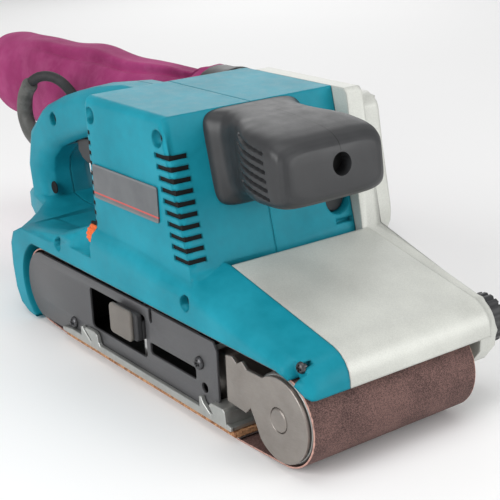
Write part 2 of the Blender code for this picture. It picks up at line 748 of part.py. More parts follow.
def drive_train():
    y = (0, 1, 0)
    mx, dx = x_rear + motor_x, x_rear
    high = pulley_y + pulley_width
    pinion = extrude("motor_pulley", toothed_outline(mx, motor_z, motor_teeth, pinion_radius, 1.1 * mm),
                     "y", pulley_y, high, STEEL)
    bore(pinion, motor_shaft_radius + touch_gap, (mx, 0, motor_z), y, pulley_y - 1 * mm, high + 1 * mm, 16)
    driven = extrude("driven_pulley", toothed_outline(dx, axis_z, driven_teeth, driven_radius, 1.1 * mm),
                     "y", pulley_y, high, STEEL)
    bore(driven, axle_radius + touch_gap, (dx, 0, axis_z), y, pulley_y - 1 * mm, high + 1 * mm, 16)
    bm = bmesh.new()
    rows = []
    for extra, t in ((1.9 * mm, pulley_y), (1.9 * mm, high - 0.5 * mm),
                     (touch_gap, high - 0.5 * mm), (touch_gap, pulley_y)):
        loop = belt_wrap(driven_radius + extra, pinion_radius + extra, 18, 8)
        rows.append([bm.verts.new((u, t, v)) for u, v in loop])
    for k in range(4):
        one, two = rows[k], rows[(k + 1) % 4]
        for i in range(len(one)):
            j = (i + 1) % len(one)
            bm.faces.new((one[i], one[j], two[j], two[i]))
    finish("timing_belt", bm, RUBBER)
    bearing_y = housing_left_y + 2 * mm
    tube("drive_bearing_left", axle_radius + running_gap, bearing_outer, bearing_y, bearing_y + 9 * mm,
         (dx, 0, axis_z), y, STEEL, 18)
    tube("drive_bearing_right", axle_radius + running_gap, bearing_outer, frame_right_y,
         -belt_half + 5.0 * mm, (dx, 0, axis_z), y, STEEL, 18)
    tube("motor_bearing_left", motor_shaft_radius + running_gap, bearing_outer, bearing_y,
         bearing_y + 7 * mm, (mx, 0, motor_z), y, STEEL, 18)
    tube("motor_bearing_right", motor_shaft_radius + running_gap, bearing_outer, -44 * mm, -37.5 * mm,
         (mx, 0, motor_z), y, STEEL, 18)


def motor():
    y = (0, 1, 0)
    mx = x_rear + motor_x
    centre = (mx, 0, motor_z)
    bore_radius = motor_shaft_radius + touch_gap
    rod("motor_shaft", motor_shaft_radius, -44 * mm, pulley_y + pulley_width + 1 * mm, centre, y, STEEL, 16)
    core = extrude("armature_core", toothed_outline(mx, motor_z, 12, armature_radius, 7 * mm),
                   "y", -16 * mm, 30 * mm, COPPER)
    bore(core, bore_radius, centre, y, -20 * mm, 40 * mm, 16)
    tube("commutator", bore_radius, 11 * mm, 42 * mm, 56 * mm, centre, y, COPPER, 24)
    tube("field_core", armature_radius + 0.8 * mm, field_radius, -14 * mm, 28 * mm, centre, y, STEEL, 32)
    fan = tube("cooling_fan", bore_radius, 32 * mm, -34.5 * mm, -32.5 * mm, centre, y, GRIP, 24)
    for i in range(9):
        blade = box("blade", (9 * mm, -33 * mm, -0.9 * mm), (31 * mm, -22 * mm, 0.9 * mm), GRIP)
        turn = Matrix.Translation((mx, 0, motor_z)) @ Matrix.Rotation(2 * math.pi * i / 9, 4, "Y")
        blade.data.transform(turn)
        fuse(fan, blade)
    for name, side in (("front", 1), ("rear", -1)):
        x0, x1 = mx + side * 11.4 * mm, mx + side * 30 * mm
        box(f"carbon_brush_{name}", (min(x0, x1), 45 * mm, motor_z - 4 * mm),
            (max(x0, x1), 52 * mm, motor_z + 4 * mm), GRAPHITE)
    cap_x = mx + 30.5 * mm
    rod("brush_cap_front", 7.5 * mm, 0, front_face_x(motor_z) - cap_x - 3 * mm, (cap_x, 49 * mm, motor_z),
        (1, 0, 0), GRIP, 16, 1 * mm)
    rod("brush_cap_rear", 7.5 * mm, 0, mx - 30.5 * mm - (x_rear + housing_rear) - 1 * mm,
        (mx - 30.5 * mm, 49 * mm, motor_z), (-1, 0, 0), GRIP, 16, 1 * mm)


# ---- teal motor housing ---------------------------------------------------------------

housing_step = 76 * mm
handle_points = [(78, 128), (57, 132), (30, 131), (4, 126.5), (-20, 120.5), (-38, 115), (-60, 106.5),
                 (-76, 93), (-81, 76), (-78, 56), (-72, 44)]


def front_face_x(z):
    """X of the motor housing's sloping front face at a height."""
    share = (housing_height - z) / (housing_height - housing_step)
    return x_rear + housing_front + housing_front_slope * share


def handle_blank():
    path = [Vector((rear(x), seam_y, z * mm)) for x, z in handle_points]
    rings = []
    for i, point in enumerate(path):
        ahead = path[min(i + 1, len(path) - 1)] - path[max(i - 1, 0)]
        ahead.normalize()
        up = Vector((-ahead.z, 0, ahead.x))
        share = i / (len(path) - 1)
        width = handle_width / 2 * (1 + 0.12 * share)
        depth = handle_depth / 2 * (1 + 0.10 * share)
        section = superellipse(width, depth, 3.2, 14)
        rings.append([point + Vector((0, 1, 0)) * u + up * v for u, v in section])
    return loft("handle", rings, TEAL)


def body_blank():
    """The solid outer form: motor box, skirt over the belt, fender round the drive roller,
    tail and handle loop. It is hollowed and split at the seam afterwards."""
    box_outline = [(rear(62), housing_floor), (rear(60), housing_height - 5 * mm),
                   (rear(63), housing_height), (x_rear + housing_front, housing_height),
                   (front_face_x(housing_step), housing_step), (deck_rear - touch_gap, housing_floor)]
    blank = extrude("body", box_outline, "y", housing_right_y, housing_left_y, TEAL, 4 * mm, 2, "low")
    fuse(blank, skirt_blank(), fender_blank(), tail_blank(), handle_blank())
    return blank


def skirt_section(x, top, shoulder, brow, edge, low, outer=0.0):
    """A slice across the flank: its inner top, rounded shoulder, outer face and floor."""
    inner_y = deck_left_margin - touch_gap
    return [Vector((x, inner_y, top)), Vector((x, skirt_right_y + 7.5 * mm + outer * 0.4, shoulder)),
            Vector((x, skirt_right_y + 2 * mm + outer * 0.8, brow)), Vector((x, skirt_right_y + outer, edge)),
            Vector((x, skirt_right_y + outer, low)), Vector((x, inner_y, low))]


def skirt_blank():
    """The flank beside the belt: it slopes out from the deck's edge, runs back beside the
    motor box to the fender, and curls down over the idler roller at the front."""
    rings = []
    for x, top, shoulder, brow, edge in ((-30, 56.8, 56.6, 55.0, 52.0), (-4, 58, 60.5, 59, 55),
                                         (26, 60, 66, 64, 59), (50, 70, 74, 71, 65),
                                         (64, 79, 78, 73.5, 67), (110, 79, 77, 72.5, 65)):
        rings.append(skirt_section(rear(x), top * mm, shoulder * mm, brow * mm, edge * mm, housing_floor))
    for x in (deck_rear - touch_gap, front(-50), front(-30), front(-12), front(0)):
        top = deck_height(x)
        fall = (top - housing_floor) / (deck_high - housing_floor)
        rings.append(skirt_section(x, top, top - 3.6 * mm - 1.2 * mm * fall, top - 5.2 * mm - 3.5 * mm * fall,
                                   top - 6.6 * mm - 7 * mm * fall, housing_floor))
    for turn in (14, 32, 50, 68, 84):
        a = math.radians(turn)
        x, top = nose_x + nose_radius * math.sin(a), nose_z + nose_radius * math.cos(a)
        low = axis_z + math.sqrt(nose_clearance ** 2 - (x - x_front) ** 2)
        low = max(low, nose_lip)
        deep = top - low
        outer = 7 * mm * (1 - math.cos(a))
        rings.append(skirt_section(x, top, low + deep * 0.72, low + deep * 0.48, low + deep * 0.25, low, outer))
    return loft("skirt", rings, TEAL)


def fender_blank():
    """The thick arched guard round the back of the drive roller."""
    outer = [(rear(-13.5), 2.2 * mm), (rear(-24), 2.4 * mm), (rear(-34), 6.5 * mm), (rear(-39), 15 * mm),
             (rear(-41), 30 * mm), (rear(-40.5), 44 * mm), (rear(-36), 52 * mm), (rear(-25), 57 * mm)]
    inner = arc(x_rear, axis_z, belt_radius + 4 * mm, 104, 238, 14)
    outline = outer + [(rear(14), 57.5 * mm), (rear(40), 58 * mm), (rear(52), 64 * mm), (rear(64), 70 * mm),
                       (rear(64), housing_floor), (rear(0), housing_floor)] + inner
    return extrude("fender", outline, "y", skirt_right_y, housing_left_y, TEAL, 3 * mm, 2, "low")


def tail_blank():
    """The tapering bridge from the fender to the foot of the handle."""
    rings = []
    for x, right, left, low, high in ((-20, -50, 54, 46, 57), (-36, -50, 54, 36, 56.5), (-50, -34, 42, 37, 57),
                                      (-64, -18, 28, 38, 60), (-84, -15, 25, 40, 62), (-95, -12, 22, 44, 60)):
        middle_y, half_y = (right + left) / 2 * mm, (left - right) / 2 * mm
        middle_z, half_z = (low + high) / 2 * mm, (high - low) / 2 * mm
        rings.append([Vector((rear(x), middle_y + u, middle_z + v))
                      for u, v in superellipse(half_y, half_z, 5, 12)])
    return loft("tail", rings, TEAL)


def vent_cutter():
    """Slots that wrap the front and rear corners of the open side, as one cutter."""
    bm = bmesh.new()
    for i in range(vent_count):
        z = 80 * mm + i * vent_pitch
        slope = front_face_x(z)
        for x0, x1 in ((slope - 13 * mm, slope + 3 * mm), (x_rear + 57 * mm, x_rear + 66 * mm)):
            made = bmesh.ops.create_cube(bm, size=1.0)
            low = Vector((x0, housing_right_y - 3 * mm, z - vent_width / 2))
            high = Vector((x1, housing_right_y + 11 * mm, z + vent_width / 2))
            bmesh.ops.transform(bm, verts=made["verts"], matrix=Matrix.Translation((low + high) / 2)
                                @ Matrix.Diagonal((*(high - low), 1.0)))
    return finish("vents", bm, TEAL)


housing_screws = [(rear(135), 139 * mm), (rear(67.5), 140 * mm)]
trigger_pivot = (rear(2), seam_y, 106 * mm)
lock_at = (rear(-46), 22 * mm, 106 * mm)
dial_at = (rear(59), -43.5 * mm, 71 * mm)
dial_radius = 8.5 * mm


def hollow_body(blank):
    """Cuts the motor's chamber and every seat from the solid form."""
    y = (0, 1, 0)
    mx = x_rear + motor_x
    centre = (mx, 0, motor_z)
    bore(blank, field_radius + touch_gap + 0.7 * mm, centre, y, -36.5 * mm, housing_left_y + 1 * mm, 32)
    bore(blank, bearing_outer + touch_gap, centre, y, -44.5 * mm, -30 * mm)
    cut(blank, box("brush_way", (mx - 31 * mm, 44 * mm, motor_z - 5 * mm),
                   (mx + 31 * mm, 53 * mm, motor_z + 5 * mm), TEAL))
    bore(blank, 7.5 * mm + touch_gap, (mx, 49 * mm, motor_z), (1, 0, 0), -60 * mm, 70 * mm, 20)
    cut(blank, vent_cutter())
    cut(blank, box("key_slot", (front_face_x(78 * mm) - 4 * mm, 46 * mm, 79 * mm),
                   (front_face_x(78 * mm) + 8 * mm, 57 * mm, 82 * mm), TEAL))
    for x, z in housing_screws:
        bore(blank, 4.6 * mm, (x, 0, z), y, housing_right_y - 1 * mm, housing_right_y + 6 * mm, 20)
        bore(blank, 1.7 * mm + touch_gap, (x, 0, z), y, housing_right_y, seam_y + 6 * mm, 12)
    for x, z, face in ((-48, 114, -12), (-62, 66, -12)):
        bore(blank, 4.2 * mm, (rear(x), 0, z * mm), y, (face - 8) * mm, (face + 3) * mm, 20)
    bore(blank, 4.2 * mm, (rear(159), 0, 61 * mm), y, skirt_right_y - 1 * mm, skirt_right_y + 5 * mm, 16)
    bore(blank, 4.2 * mm, (rear(24), 0, 58.5 * mm), y, skirt_right_y - 3 * mm, skirt_right_y + 8 * mm, 16)
    cut(blank, trigger_pocket(), dial_recess(), skirt_recess())
    bore(blank, 4.4 * mm, (lock_at[0], 0, lock_at[2]), y, seam_y + 7 * mm, 30 * mm, 16)
    bore(blank, guard_root_radius + touch_gap, (rear(-70), guard_y, 88 * mm), (-1, 0, 0), 0, 60 * mm, 16)
    return blank


def trigger_pocket():
    pocket = box("pocket", (rear(-40), seam_y - 8.5 * mm, 84 * mm),
                 (rear(9), seam_y + 8.5 * mm, 121 * mm), TEAL)
    return pocket


def dial_recess():
    """A scoop that deepens towards the speed wheel, with the wheel's slot at its end."""
    x, y, z = dial_at
    plan = rounded([(x - 27 * mm, skirt_right_y - 4 * mm), (x + 5 * mm, skirt_right_y - 4 * mm),
                    (x + 5 * mm, skirt_right_y + 7 * mm), (x - 6 * mm, skirt_right_y + 7 * mm)], 3 * mm, 2)
    scoop = extrude("scoop", plan, "z", z - 10.5 * mm, z + 5 * mm, TEAL)
    slot = rod("slot", dial_radius + 1.2 * mm, -4.6 * mm, 4.6 * mm, (x, y, z), (1, 0, 0), TEAL, 20)
    return fuse(scoop, slot)


def skirt_recess():
    outline = rounded([(front(4), 58.5 * mm), (front(17.5), 57 * mm), (front(11), 43.5 * mm)], 3.4 * mm)
    return extrude("recess", outline, "y", skirt_right_y - 1 * mm, skirt_right_y + 6.5 * mm, TEAL)


def housing_halves():
    blank = hollow_body(body_blank())
    right, left = split_at_seam(blank, "housing_right", "housing_left")
    for i, (x, z) in enumerate(housing_screws):
        seat = (x, housing_right_y + 6 * mm - touch_gap, z)
        screw(f"housing_screw_{i + 1}", seat, (0, -1, 0), 3.9 * mm, 2.4 * mm, 1.7 * mm, 22 * mm)
    return right, left


def controls():
    """Trigger, switch, lock button and speed wheel."""
    px, py, pz = trigger_pivot
    outline = [(px + 4 * mm, pz - 3 * mm), (px + 4 * mm, pz + 2 * mm), (rear(-37.5), pz - 3 * mm),
               (rear(-38), pz - 9 * mm), (rear(-34), pz - 17 * mm), (rear(-22), pz - 18.5 * mm),
               (rear(-8), pz - 13 * mm)]
    trigger = extrude("trigger", rounded(outline, 3 * mm, 2), "y", py - 7.6 * mm, py + 7.6 * mm, GRIP,
                      1.2 * mm, 1)
    pivot(trigger, trigger_pivot)
    box("switch_body", (rear(-32), py - 7.5 * mm, pz + 4.4 * mm), (rear(6), py + 7.5 * mm, pz + 14.4 * mm),
        GRIP, 0.8 * mm)
    x, y, z = lock_at
    button = rod("lock_button", 4.0 * mm, -6.5 * mm, 2.6 * mm, (x, y, z), (0, 1, 0), GRIP, 16, 0.8 * mm)
    dial = extrude("speed_dial", toothed_outline(dial_at[1], dial_at[2], 16, dial_radius, 0.8 * mm),
                   "x", dial_at[0] - 4 * mm, dial_at[0] + 4 * mm, ORANGE)
    pivot(dial, dial_at)
    return trigger, button, dial


def name_plate():
    outline = rounded([(rear(67.5), 95.2 * mm), (rear(133), 95.2 * mm),
                       (rear(133), 114 * mm), (rear(67.5), 114 * mm)], 1.5 * mm, 2)
    low = housing_right_y - touch_gap - 0.7 * mm
    return extrude("name_plate", outline, "y", low, low + 0.7 * mm, LABEL)


# ---- front grip, guard and cord, dust outlet ------------------------------------------

def front_grip():
    """A lofted head on a neck, hollow beneath, in two halves that meet at the seam."""
    rings = []
    # distance ahead of the housing's top edge, half width, low and high Z, squareness
    stations = [(6, 30, 102.5, 149.8, 8), (17, 29.5, 102.8, 149.8, 7), (22, 25, 106, 149.8, 5),
                (28, 23.5, 108, 149.6, 4.5), (36, 28, 106.5, 149.2, 4.5), (45, 35.5, 105.5, 148.2, 5),
                (58, 36.8, 105.5, 146.6, 5), (66, 36, 107, 144.6, 4.8), (70, 33, 110, 142, 4.4),
                (71.5, 29, 114, 138, 4)]
    for x, half, low, high, power in stations:
        middle = (low + high) / 2 * mm
        lean = (high - low) / 2 * mm
        section = superellipse(half * mm, lean, power, 20)
        rings.append([Vector((rear(140 + x) - v * 0.12, seam_y + u, middle + v)) for u, v in section])
    grip = loft("front_grip_right", rings, GRIP)
    # The rear face follows the housing's sloping front.
    z0, z1 = 90 * mm, 160 * mm
    trim = [(front_face_x(z0) + touch_gap, z0), (front_face_x(z1) + touch_gap, z1), (rear(120), z1), (rear(120), z0)]
    cut(grip, extrude("trim", trim, "y", -0.1, 0.1, GRIP))
    # The finger space under the head, open downwards.
    space = [(rear(170), 96 * mm), (rear(205), 96 * mm), (rear(203), 118 * mm), (rear(174), 121 * mm)]
    cut(grip, extrude("space", rounded(space, 4 * mm), "y", seam_y - 31.5 * mm, seam_y + 31.5 * mm, GRIP))
    cut(grip, grip_slots())
    bore(grip, 5.8 * mm, (0, seam_y, 131.5 * mm), (1, 0, 0), rear(203), rear(230), 20)
    return split_at_seam(grip, "front_grip_right", "front_grip_left")


def grip_slots():
    """Finger ribs: level slots round the back of the head on both sides, as one cutter."""
    bm = bmesh.new()
    for i in range(rib_count):
        z = 142 * mm - i * rib_pitch
        shift = i * 1.2 * mm
        for side in (1, -1):
            made = bmesh.ops.create_cube(bm, size=1.0)
            near, far = seam_y + side * 20.5 * mm, seam_y + side * 40 * mm
            low = Vector((rear(166) + shift, min(near, far), z - rib_gap / 2))
            high = Vector((rear(201) + shift, max(near, far), z + rib_gap / 2))
            bmesh.ops.transform(bm, verts=made["verts"], matrix=Matrix.Translation((low + high) / 2)
                                @ Matrix.Diagonal((*(high - low), 1.0)))
    slots = finish("slots", bm, GRIP)
    # Only the outer 2 mm of the head is cut: the core keeps its solid.
    core = []
    for x, half in ((160, 21), (168, 21.5), (176, 26), (185, 33), (198, 34.6), (212, 34.6)):
        core.append((rear(x), half * mm))
    outline = [(x, seam_y - half) for x, half in core] + [(x, seam_y + half) for x, half in reversed(core)]
    return cut(slots, extrude("core", outline, "z", 100 * mm, 160 * mm, GRIP))


rib_count = 6
rib_pitch = 3.4 * mm
rib_gap = 1.5 * mm
guard_y = 2.0 * mm
guard_root_radius = 6.0 * mm
guard_points = [(-86, 88), (-100, 88), (-113, 93), (-119.5, 104), (-116, 117), (-107, 126)]


def cord_guard():
    """A tapering rubber sleeve that curls up out of the handle's back."""
    path = smooth_path([(rear(x), guard_y, z * mm) for x, z in guard_points], 3)
    rings = []
    for i, point in enumerate(path):
        ahead = (path[min(i + 1, len(path) - 1)] - path[max(i - 1, 0)]).normalized()
        up = Vector((-ahead.z, 0, ahead.x))
        radius = guard_root_radius - 0.2 * mm - 1.0 * mm * i / (len(path) - 1)
        rings.append([point + Vector((0, 1, 0)) * (radius * math.cos(a)) + up * (radius * math.sin(a))
                      for a in [2 * math.pi * k / 12 for k in range(12)]])
    return loft("cord_guard", rings, RUBBER), path[-1], (path[-1] - path[-2]).normalized()


cord_route = [(-105.9, 2.2, 127.3), (-99, 6, 134), (-96, 14, 139), (-97, 23, 133), (-99, 27.5, 115),
              (-100, 27.5, 85), (-103, 27, 50), (-110, 31, 22), (-124, 46, 6), (-128, 75, 3.5),
              (-116, 108, 3.5), (-95, 132, 4.5), (-76, 148, 8)]


def power_cord():
    points = smooth_path([(rear(x), y * mm, z * mm) for x, y, z in cord_route], 3)
    curve = bpy.data.curves.new("power_cord", "CURVE")
    curve.dimensions = "3D"
    curve.bevel_depth = cord_radius
    curve.bevel_resolution = 2
    curve.use_fill_caps = True
    spline = curve.splines.new("POLY")
    spline.points.add(len(points) - 1)
    for place, point in zip(spline.points, points):
        place.co = (*point, 1.0)
    cord = bpy.data.objects.new("power_cord", curve)
    curve.materials.append(RUBBER)
    bpy.context.scene.collection.objects.link(cord)
    return cord


coil_at = (rear(-30), 175 * mm)


def coil_and_plug():
    x, y = coil_at
    half = coil_section
    profile = [(coil_radius - half, 0.4 * half), (coil_radius - 0.6 * half, 0), (coil_radius + 0.6 * half, 0),
               (coil_radius + half, 0.4 * half), (coil_radius + half, 1.6 * half),
               (coil_radius + 0.6 * half, 2 * half), (coil_radius - 0.6 * half, 2 * half),
               (coil_radius - half, 1.6 * half)]
    turned("cord_coil", profile, (x, y, 0), (0, 0, 1), RUBBER, 24)
    px = x + coil_radius + half + touch_gap
    rings = []
    for t, hu, hv in ((0, 4.2, 4.2), (14, 5.5, 5.0), (18, 13, 8), (34, 15, 9), (40, 14, 8.5)):
        rings.append([Vector((px + t * mm, y + u, 9.5 * mm + v))
                      for u, v in superellipse(hu * mm, hv * mm, 3, 16)])
    loft("plug_body", rings, RUBBER)
    for i, side in enumerate((1, -1)):
        rod(f"plug_pin_{i + 1}", 2.4 * mm, 0, 19 * mm, (px + 40 * mm + touch_gap, y + side * 9.5 * mm, 9.5 * mm),
            (1, 0, 0), STEEL, 12, 0.6 * mm)


def dust_outlet():
    x = (-1, 0, 0)
    flange_x = x_rear + housing_rear - touch_gap
    centre = (flange_x, nozzle_y, nozzle_z)
    inner = nozzle_radius - 2 * mm
    profile = [(inner, 0), (nozzle_radius + 3 * mm, 0), (nozzle_radius + 3 * mm, 3 * mm),
               (nozzle_radius, 3 * mm), (nozzle_radius - 0.6 * mm, 22 * mm), (inner, 22 * mm)]
    turned("dust_nozzle", profile, centre, x, GRIP, 24)
    collar_in = nozzle_radius + touch_gap
    profile = [(collar_in, 3.6 * mm), (collar_in + 3.2 * mm, 3.6 * mm), (collar_in + 3.2 * mm, 8 * mm),
               (collar_in + 2.2 * mm, 9 * mm), (collar_in + 2.2 * mm, 24 * mm), (collar_in, 24 * mm)]
    turned("bag_collar", profile, centre, x, GRIP, 24)


def dust_bag():
    """The bag's filled outer form, from the collar's end rearwards."""
    start = x_rear + housing_rear - 24.6 * mm - touch_gap
    rings = []
    # share of the length, half width, low and high Z
    for share, half, low, high in ((0.0, 20, 105, 147), (0.05, 24, 100, 151.5), (0.16, 25.5, 92, 152),
                                   (0.32, 26, 84, 149), (0.48, 26, 76, 146), (0.65, 27, 68, 143),
                                   (0.80, 27, 64, 141), (0.92, 25, 66, 139), (0.98, 18, 74, 134), (1.0, 12, 82, 128)):
        x = start - bag_length * share
        middle = (low + high) / 2 * mm
        section = superellipse(half * mm, (high - low) / 2 * mm, 2.5, 20)
        rings.append([Vector((x, nozzle_y + 1.5 * mm + u, middle + v)) for u, v in section])
    return loft("dust_bag", rings, CLOTH)


def tracking():
    centre = (tracking_x, 0, tracking_z)
    head_y = casting_left_y + 2 * mm
    outline = toothed_outline(tracking_x, tracking_z, 20, 13 * mm, 1.2 * mm)
    knob = extrude("tracking_knob", outline, "y", head_y, head_y + 12 * mm, GRIP)
    fuse(knob, rod("screw", 3 * mm, bracket_left_y + 2.5 * mm + 2.2 * mm, head_y + 2 * mm, centre,
                   (0, 1, 0), STEEL, 16, 0.6 * mm))
    pivot(knob, (tracking_x, head_y, tracking_z))
    return knob


def skirt_screw():
    return screw("skirt_screw", (front(11), skirt_right_y + 6.5 * mm - touch_gap, 53.5 * mm), (0, -1, 0),
                 3.0 * mm, 1.8 * mm, 1.6 * mm, 3 * mm)


def main():
    sanding_belt()
    rollers()
    platen()
    frame = inner_frame()
    side_plate()
    side_fasteners(frame)
    carriage()
    tension_spring(pocket_rear + 40 * mm, yoke_x - 26 * mm + 5.5 * mm)
    roller_brackets()
    release_lever()
    frame_casting()
    drive_cover()
    drive_train()
    motor()
    right, left = housing_halves()
    bore(right, 1.6 * mm + touch_gap, (front(11), 0, 53.5 * mm), (0, 1, 0),
         skirt_right_y, skirt_right_y + 12 * mm, 12)
    skirt_screw()
    controls()
    name_plate()
    front_grip()
    tracking()
    cord_guard()
    power_cord()
    coil_and_plug()
    dust_outlet()
    dust_bag()
    smooth_all()


main()
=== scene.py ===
"""Looks for a handheld belt sander, laid out as an add-on and run as a script.

Lengths are in metres. +X points forward to the idler roller, -Y to the open side where the
belt is changed, +Z up, and the work surface is at Z = 0.
"""

import math

import bmesh
import bpy
import numpy as np
from mathutils import Matrix, Vector


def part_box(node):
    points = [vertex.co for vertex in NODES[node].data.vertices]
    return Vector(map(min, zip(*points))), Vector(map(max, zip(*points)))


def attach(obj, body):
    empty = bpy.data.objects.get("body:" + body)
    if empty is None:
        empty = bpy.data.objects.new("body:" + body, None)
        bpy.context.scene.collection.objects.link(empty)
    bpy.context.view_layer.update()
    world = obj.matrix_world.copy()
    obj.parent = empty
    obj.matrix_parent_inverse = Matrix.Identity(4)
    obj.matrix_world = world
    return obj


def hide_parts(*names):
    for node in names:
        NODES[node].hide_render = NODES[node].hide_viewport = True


bl_info = {
    "name": "Belt sander finish",
    "version": (1, 0, 0),
    "blender": (4, 5, 0),
    "location": "3D View > Sidebar > Sander",
    "description": "Builds the visible pieces and finishes of a handheld belt sander",
    "category": "Object",
}

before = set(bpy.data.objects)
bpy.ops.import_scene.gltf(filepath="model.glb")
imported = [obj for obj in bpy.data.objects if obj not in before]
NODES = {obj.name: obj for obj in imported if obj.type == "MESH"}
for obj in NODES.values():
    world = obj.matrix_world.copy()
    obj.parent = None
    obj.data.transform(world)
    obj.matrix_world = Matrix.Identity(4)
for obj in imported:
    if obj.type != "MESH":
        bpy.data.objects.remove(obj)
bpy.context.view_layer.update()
MM = 0.001

BELT_LOW, BELT_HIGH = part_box("sanding_belt")
BELT_RADIUS = 23.4 * MM
AXIS_Z = 25.1 * MM
X_REAR = BELT_LOW.x + BELT_RADIUS
X_FRONT = BELT_HIGH.x - BELT_RADIUS
REAR = X_REAR / MM  # X of the drive roller's axis in millimetres


# ---- shader maths --------------------------------------------------------------------

class Signal:
    """A number from a shader socket. Arithmetic on it adds Math nodes."""

    def __init__(self, finish, socket):
        self.finish = finish
        self.socket = socket

    def _math(self, operation, first, second=None):
        return self.finish.add("ShaderNodeMath", {"operation": operation}, {0: first, 1: second})

    def __add__(self, other):
        return self._math("ADD", self, other)

    __radd__ = __add__

    def __sub__(self, other):
        return self._math("SUBTRACT", self, other)

    def __rsub__(self, other):
        return self._math("SUBTRACT", other, self)

    def __mul__(self, other):
        return self._math("MULTIPLY", self, other)

    __rmul__ = __mul__

    def __truediv__(self, other):
        return self._math("DIVIDE", self, other)

    def __gt__(self, other):
        return self._math("GREATER_THAN", self, other)

    def __lt__(self, other):
        return self._math("LESS_THAN", self, other)

    def sine(self):
        return self._math("SINE", self)

    def size(self):
        return self._math("ABSOLUTE", self)

    def upto(self, low, high):
        """0 below low, 1 above high and a straight ramp between them."""
        return self.finish.add("ShaderNodeMapRange", {"clamp": True},
                               {"Value": self, "From Min": low, "From Max": high})


class Finish:
    """A material whose nodes are made through one method."""

    def __init__(self, name, colour, roughness, metallic=0.0, specular=0.5, coat=0.0):
        self.material = bpy.data.materials.new(name)
        self.material.use_nodes = True
        self.tree = self.material.node_tree
        self.shader = self.tree.nodes["Principled BSDF"]
        self.shader.inputs["Base Color"].default_value = (*colour, 1)
        self.shader.inputs["Roughness"].default_value = roughness
        self.shader.inputs["Metallic"].default_value = metallic
        self.shader.inputs["Specular IOR Level"].default_value = specular
        self.shader.inputs["Coat Weight"].default_value = coat
        self.material.diffuse_color = (*colour, 1)

    def add(self, kind, settings=None, values=None, output=0):
        """One node with its settings, then its sockets' values or links."""
        node = self.tree.nodes.new(kind)
        for key, value in (settings or {}).items():
            if key == "stops":
                self._stops(node.color_ramp, value)
            else:
                setattr(node, key, value)
        for key, value in (values or {}).items():
            if isinstance(value, Signal):
                self.tree.links.new(value.socket, node.inputs[key])
            elif value is not None:
                node.inputs[key].default_value = value
        return Signal(self, node.outputs[output])

    @staticmethod
    def _stops(ramp, stops):
        while len(ramp.elements) < len(stops):
            ramp.elements.new(1.0)
        for element, (place, colour) in zip(ramp.elements, stops):
            element.position = place
            element.color = (*colour, 1)

    def feed(self, socket, signal):
        self.tree.links.new(signal.socket, self.shader.inputs[socket])
        return self

    def place(self):
        return self.add("ShaderNodeTexCoord", output="Object")

    def axis(self, name, vector=None):
        """One coordinate of the object's own space, or of the vector given."""
        return self.add("ShaderNodeSeparateXYZ", None, {"Vector": vector or self.place()},
                        output=name)

    def cells(self, scale):
        """A random number for each cell, about scale cells to the metre."""
        colour = self.add("ShaderNodeTexVoronoi", None, {
            "Vector": self.place(), "Scale": scale}, output="Color")
        return self.add("ShaderNodeSeparateColor", None, {"Color": colour})

    def noise(self, scale, detail=2.0, roughness=0.5, vector=None, stretch=None):
        """Noise with about scale lumps to the metre, drawn out by stretch."""
        vector = vector or self.place()
        if stretch:
            vector = self.add("ShaderNodeMapping", None, {"Vector": vector, "Scale": stretch})
        return self.add("ShaderNodeTexNoise", None, {
            "Vector": vector, "Scale": scale, "Detail": detail, "Roughness": roughness})

    def mix(self, share, first, second):
        """A colour between two, by share."""
        node = self.tree.nodes.new("ShaderNodeMix")
        node.data_type = "RGBA"
        for index, value in ((0, share), (6, first), (7, second)):
            if isinstance(value, Signal):
                self.tree.links.new(value.socket, node.inputs[index])
            else:
                node.inputs[index].default_value = value if index == 0 else (*value, 1)
        return Signal(self, node.outputs[2])

    def bump(self, height, depth, strength=1.0, edge=0.0):
        """Height as a bump of depth metres, over normals rounded at the edges."""
        values = {"Height": height, "Distance": depth, "Strength": strength}
        if edge:
            values["Normal"] = self.add("ShaderNodeBevel", {"samples": 4}, {"Radius": edge})
        return self.feed("Normal", self.add("ShaderNodeBump", None, values))


def shade(colour, factor, lift=0.0):
    """A colour made darker or lighter, and kept below 1."""
    return tuple(min(1.0, c * factor + lift) for c in colour)


def moulded(name, colour, roughness, grain=2600.0, depth=0.00006, specular=0.13, edge=0.0009,
            seam=None):
    """Moulded plastic: spark-eroded grain, faint flow marks and handled sheen."""
    finish = Finish(name, colour, roughness, specular=specular)
    flow = finish.noise(26, 3)
    dust = finish.noise(140, 4, 0.6)
    lighter = shade(colour, 1.14, 0.006)
    body = finish.mix((flow * 0.7 + dust * 0.3).upto(0.36, 0.64), shade(colour, 0.88), lighter)
    if seam:
        side, low = seam
        on_seam = ((finish.axis("Y") - side).size() < 0.00022) * (finish.axis("Z") > low)
        body = finish.mix(on_seam, body, shade(colour, 0.25))
    finish.feed("Base Color", body)
    finish.feed("Roughness", dust.upto(0.3, 0.7) * 0.10 + (roughness - 0.05))
    return finish.bump(finish.noise(grain, 2), depth, 0.5, edge)


def painted(name, colour, roughness, metallic, edge=0.0006):
    """Sprayed metallic lacquer over a casting: fine flake and a faint orange peel."""
    finish = Finish(name, colour, roughness, metallic, coat=0.12)
    finish.shader.inputs["Coat Roughness"].default_value = 0.3
    tone = finish.cells(2400.0)
    cloud = finish.noise(30, 3)
    share = tone * 0.45 + cloud.upto(0.35, 0.65) * 0.55
    finish.feed("Base Color", finish.mix(share, shade(colour, 0.84), shade(colour, 1.1)))
    finish.feed("Roughness", cloud.upto(0.35, 0.65) * 0.12 + (roughness - 0.06))
    return finish.bump(finish.noise(900, 2), 0.00003, 0.5, edge)


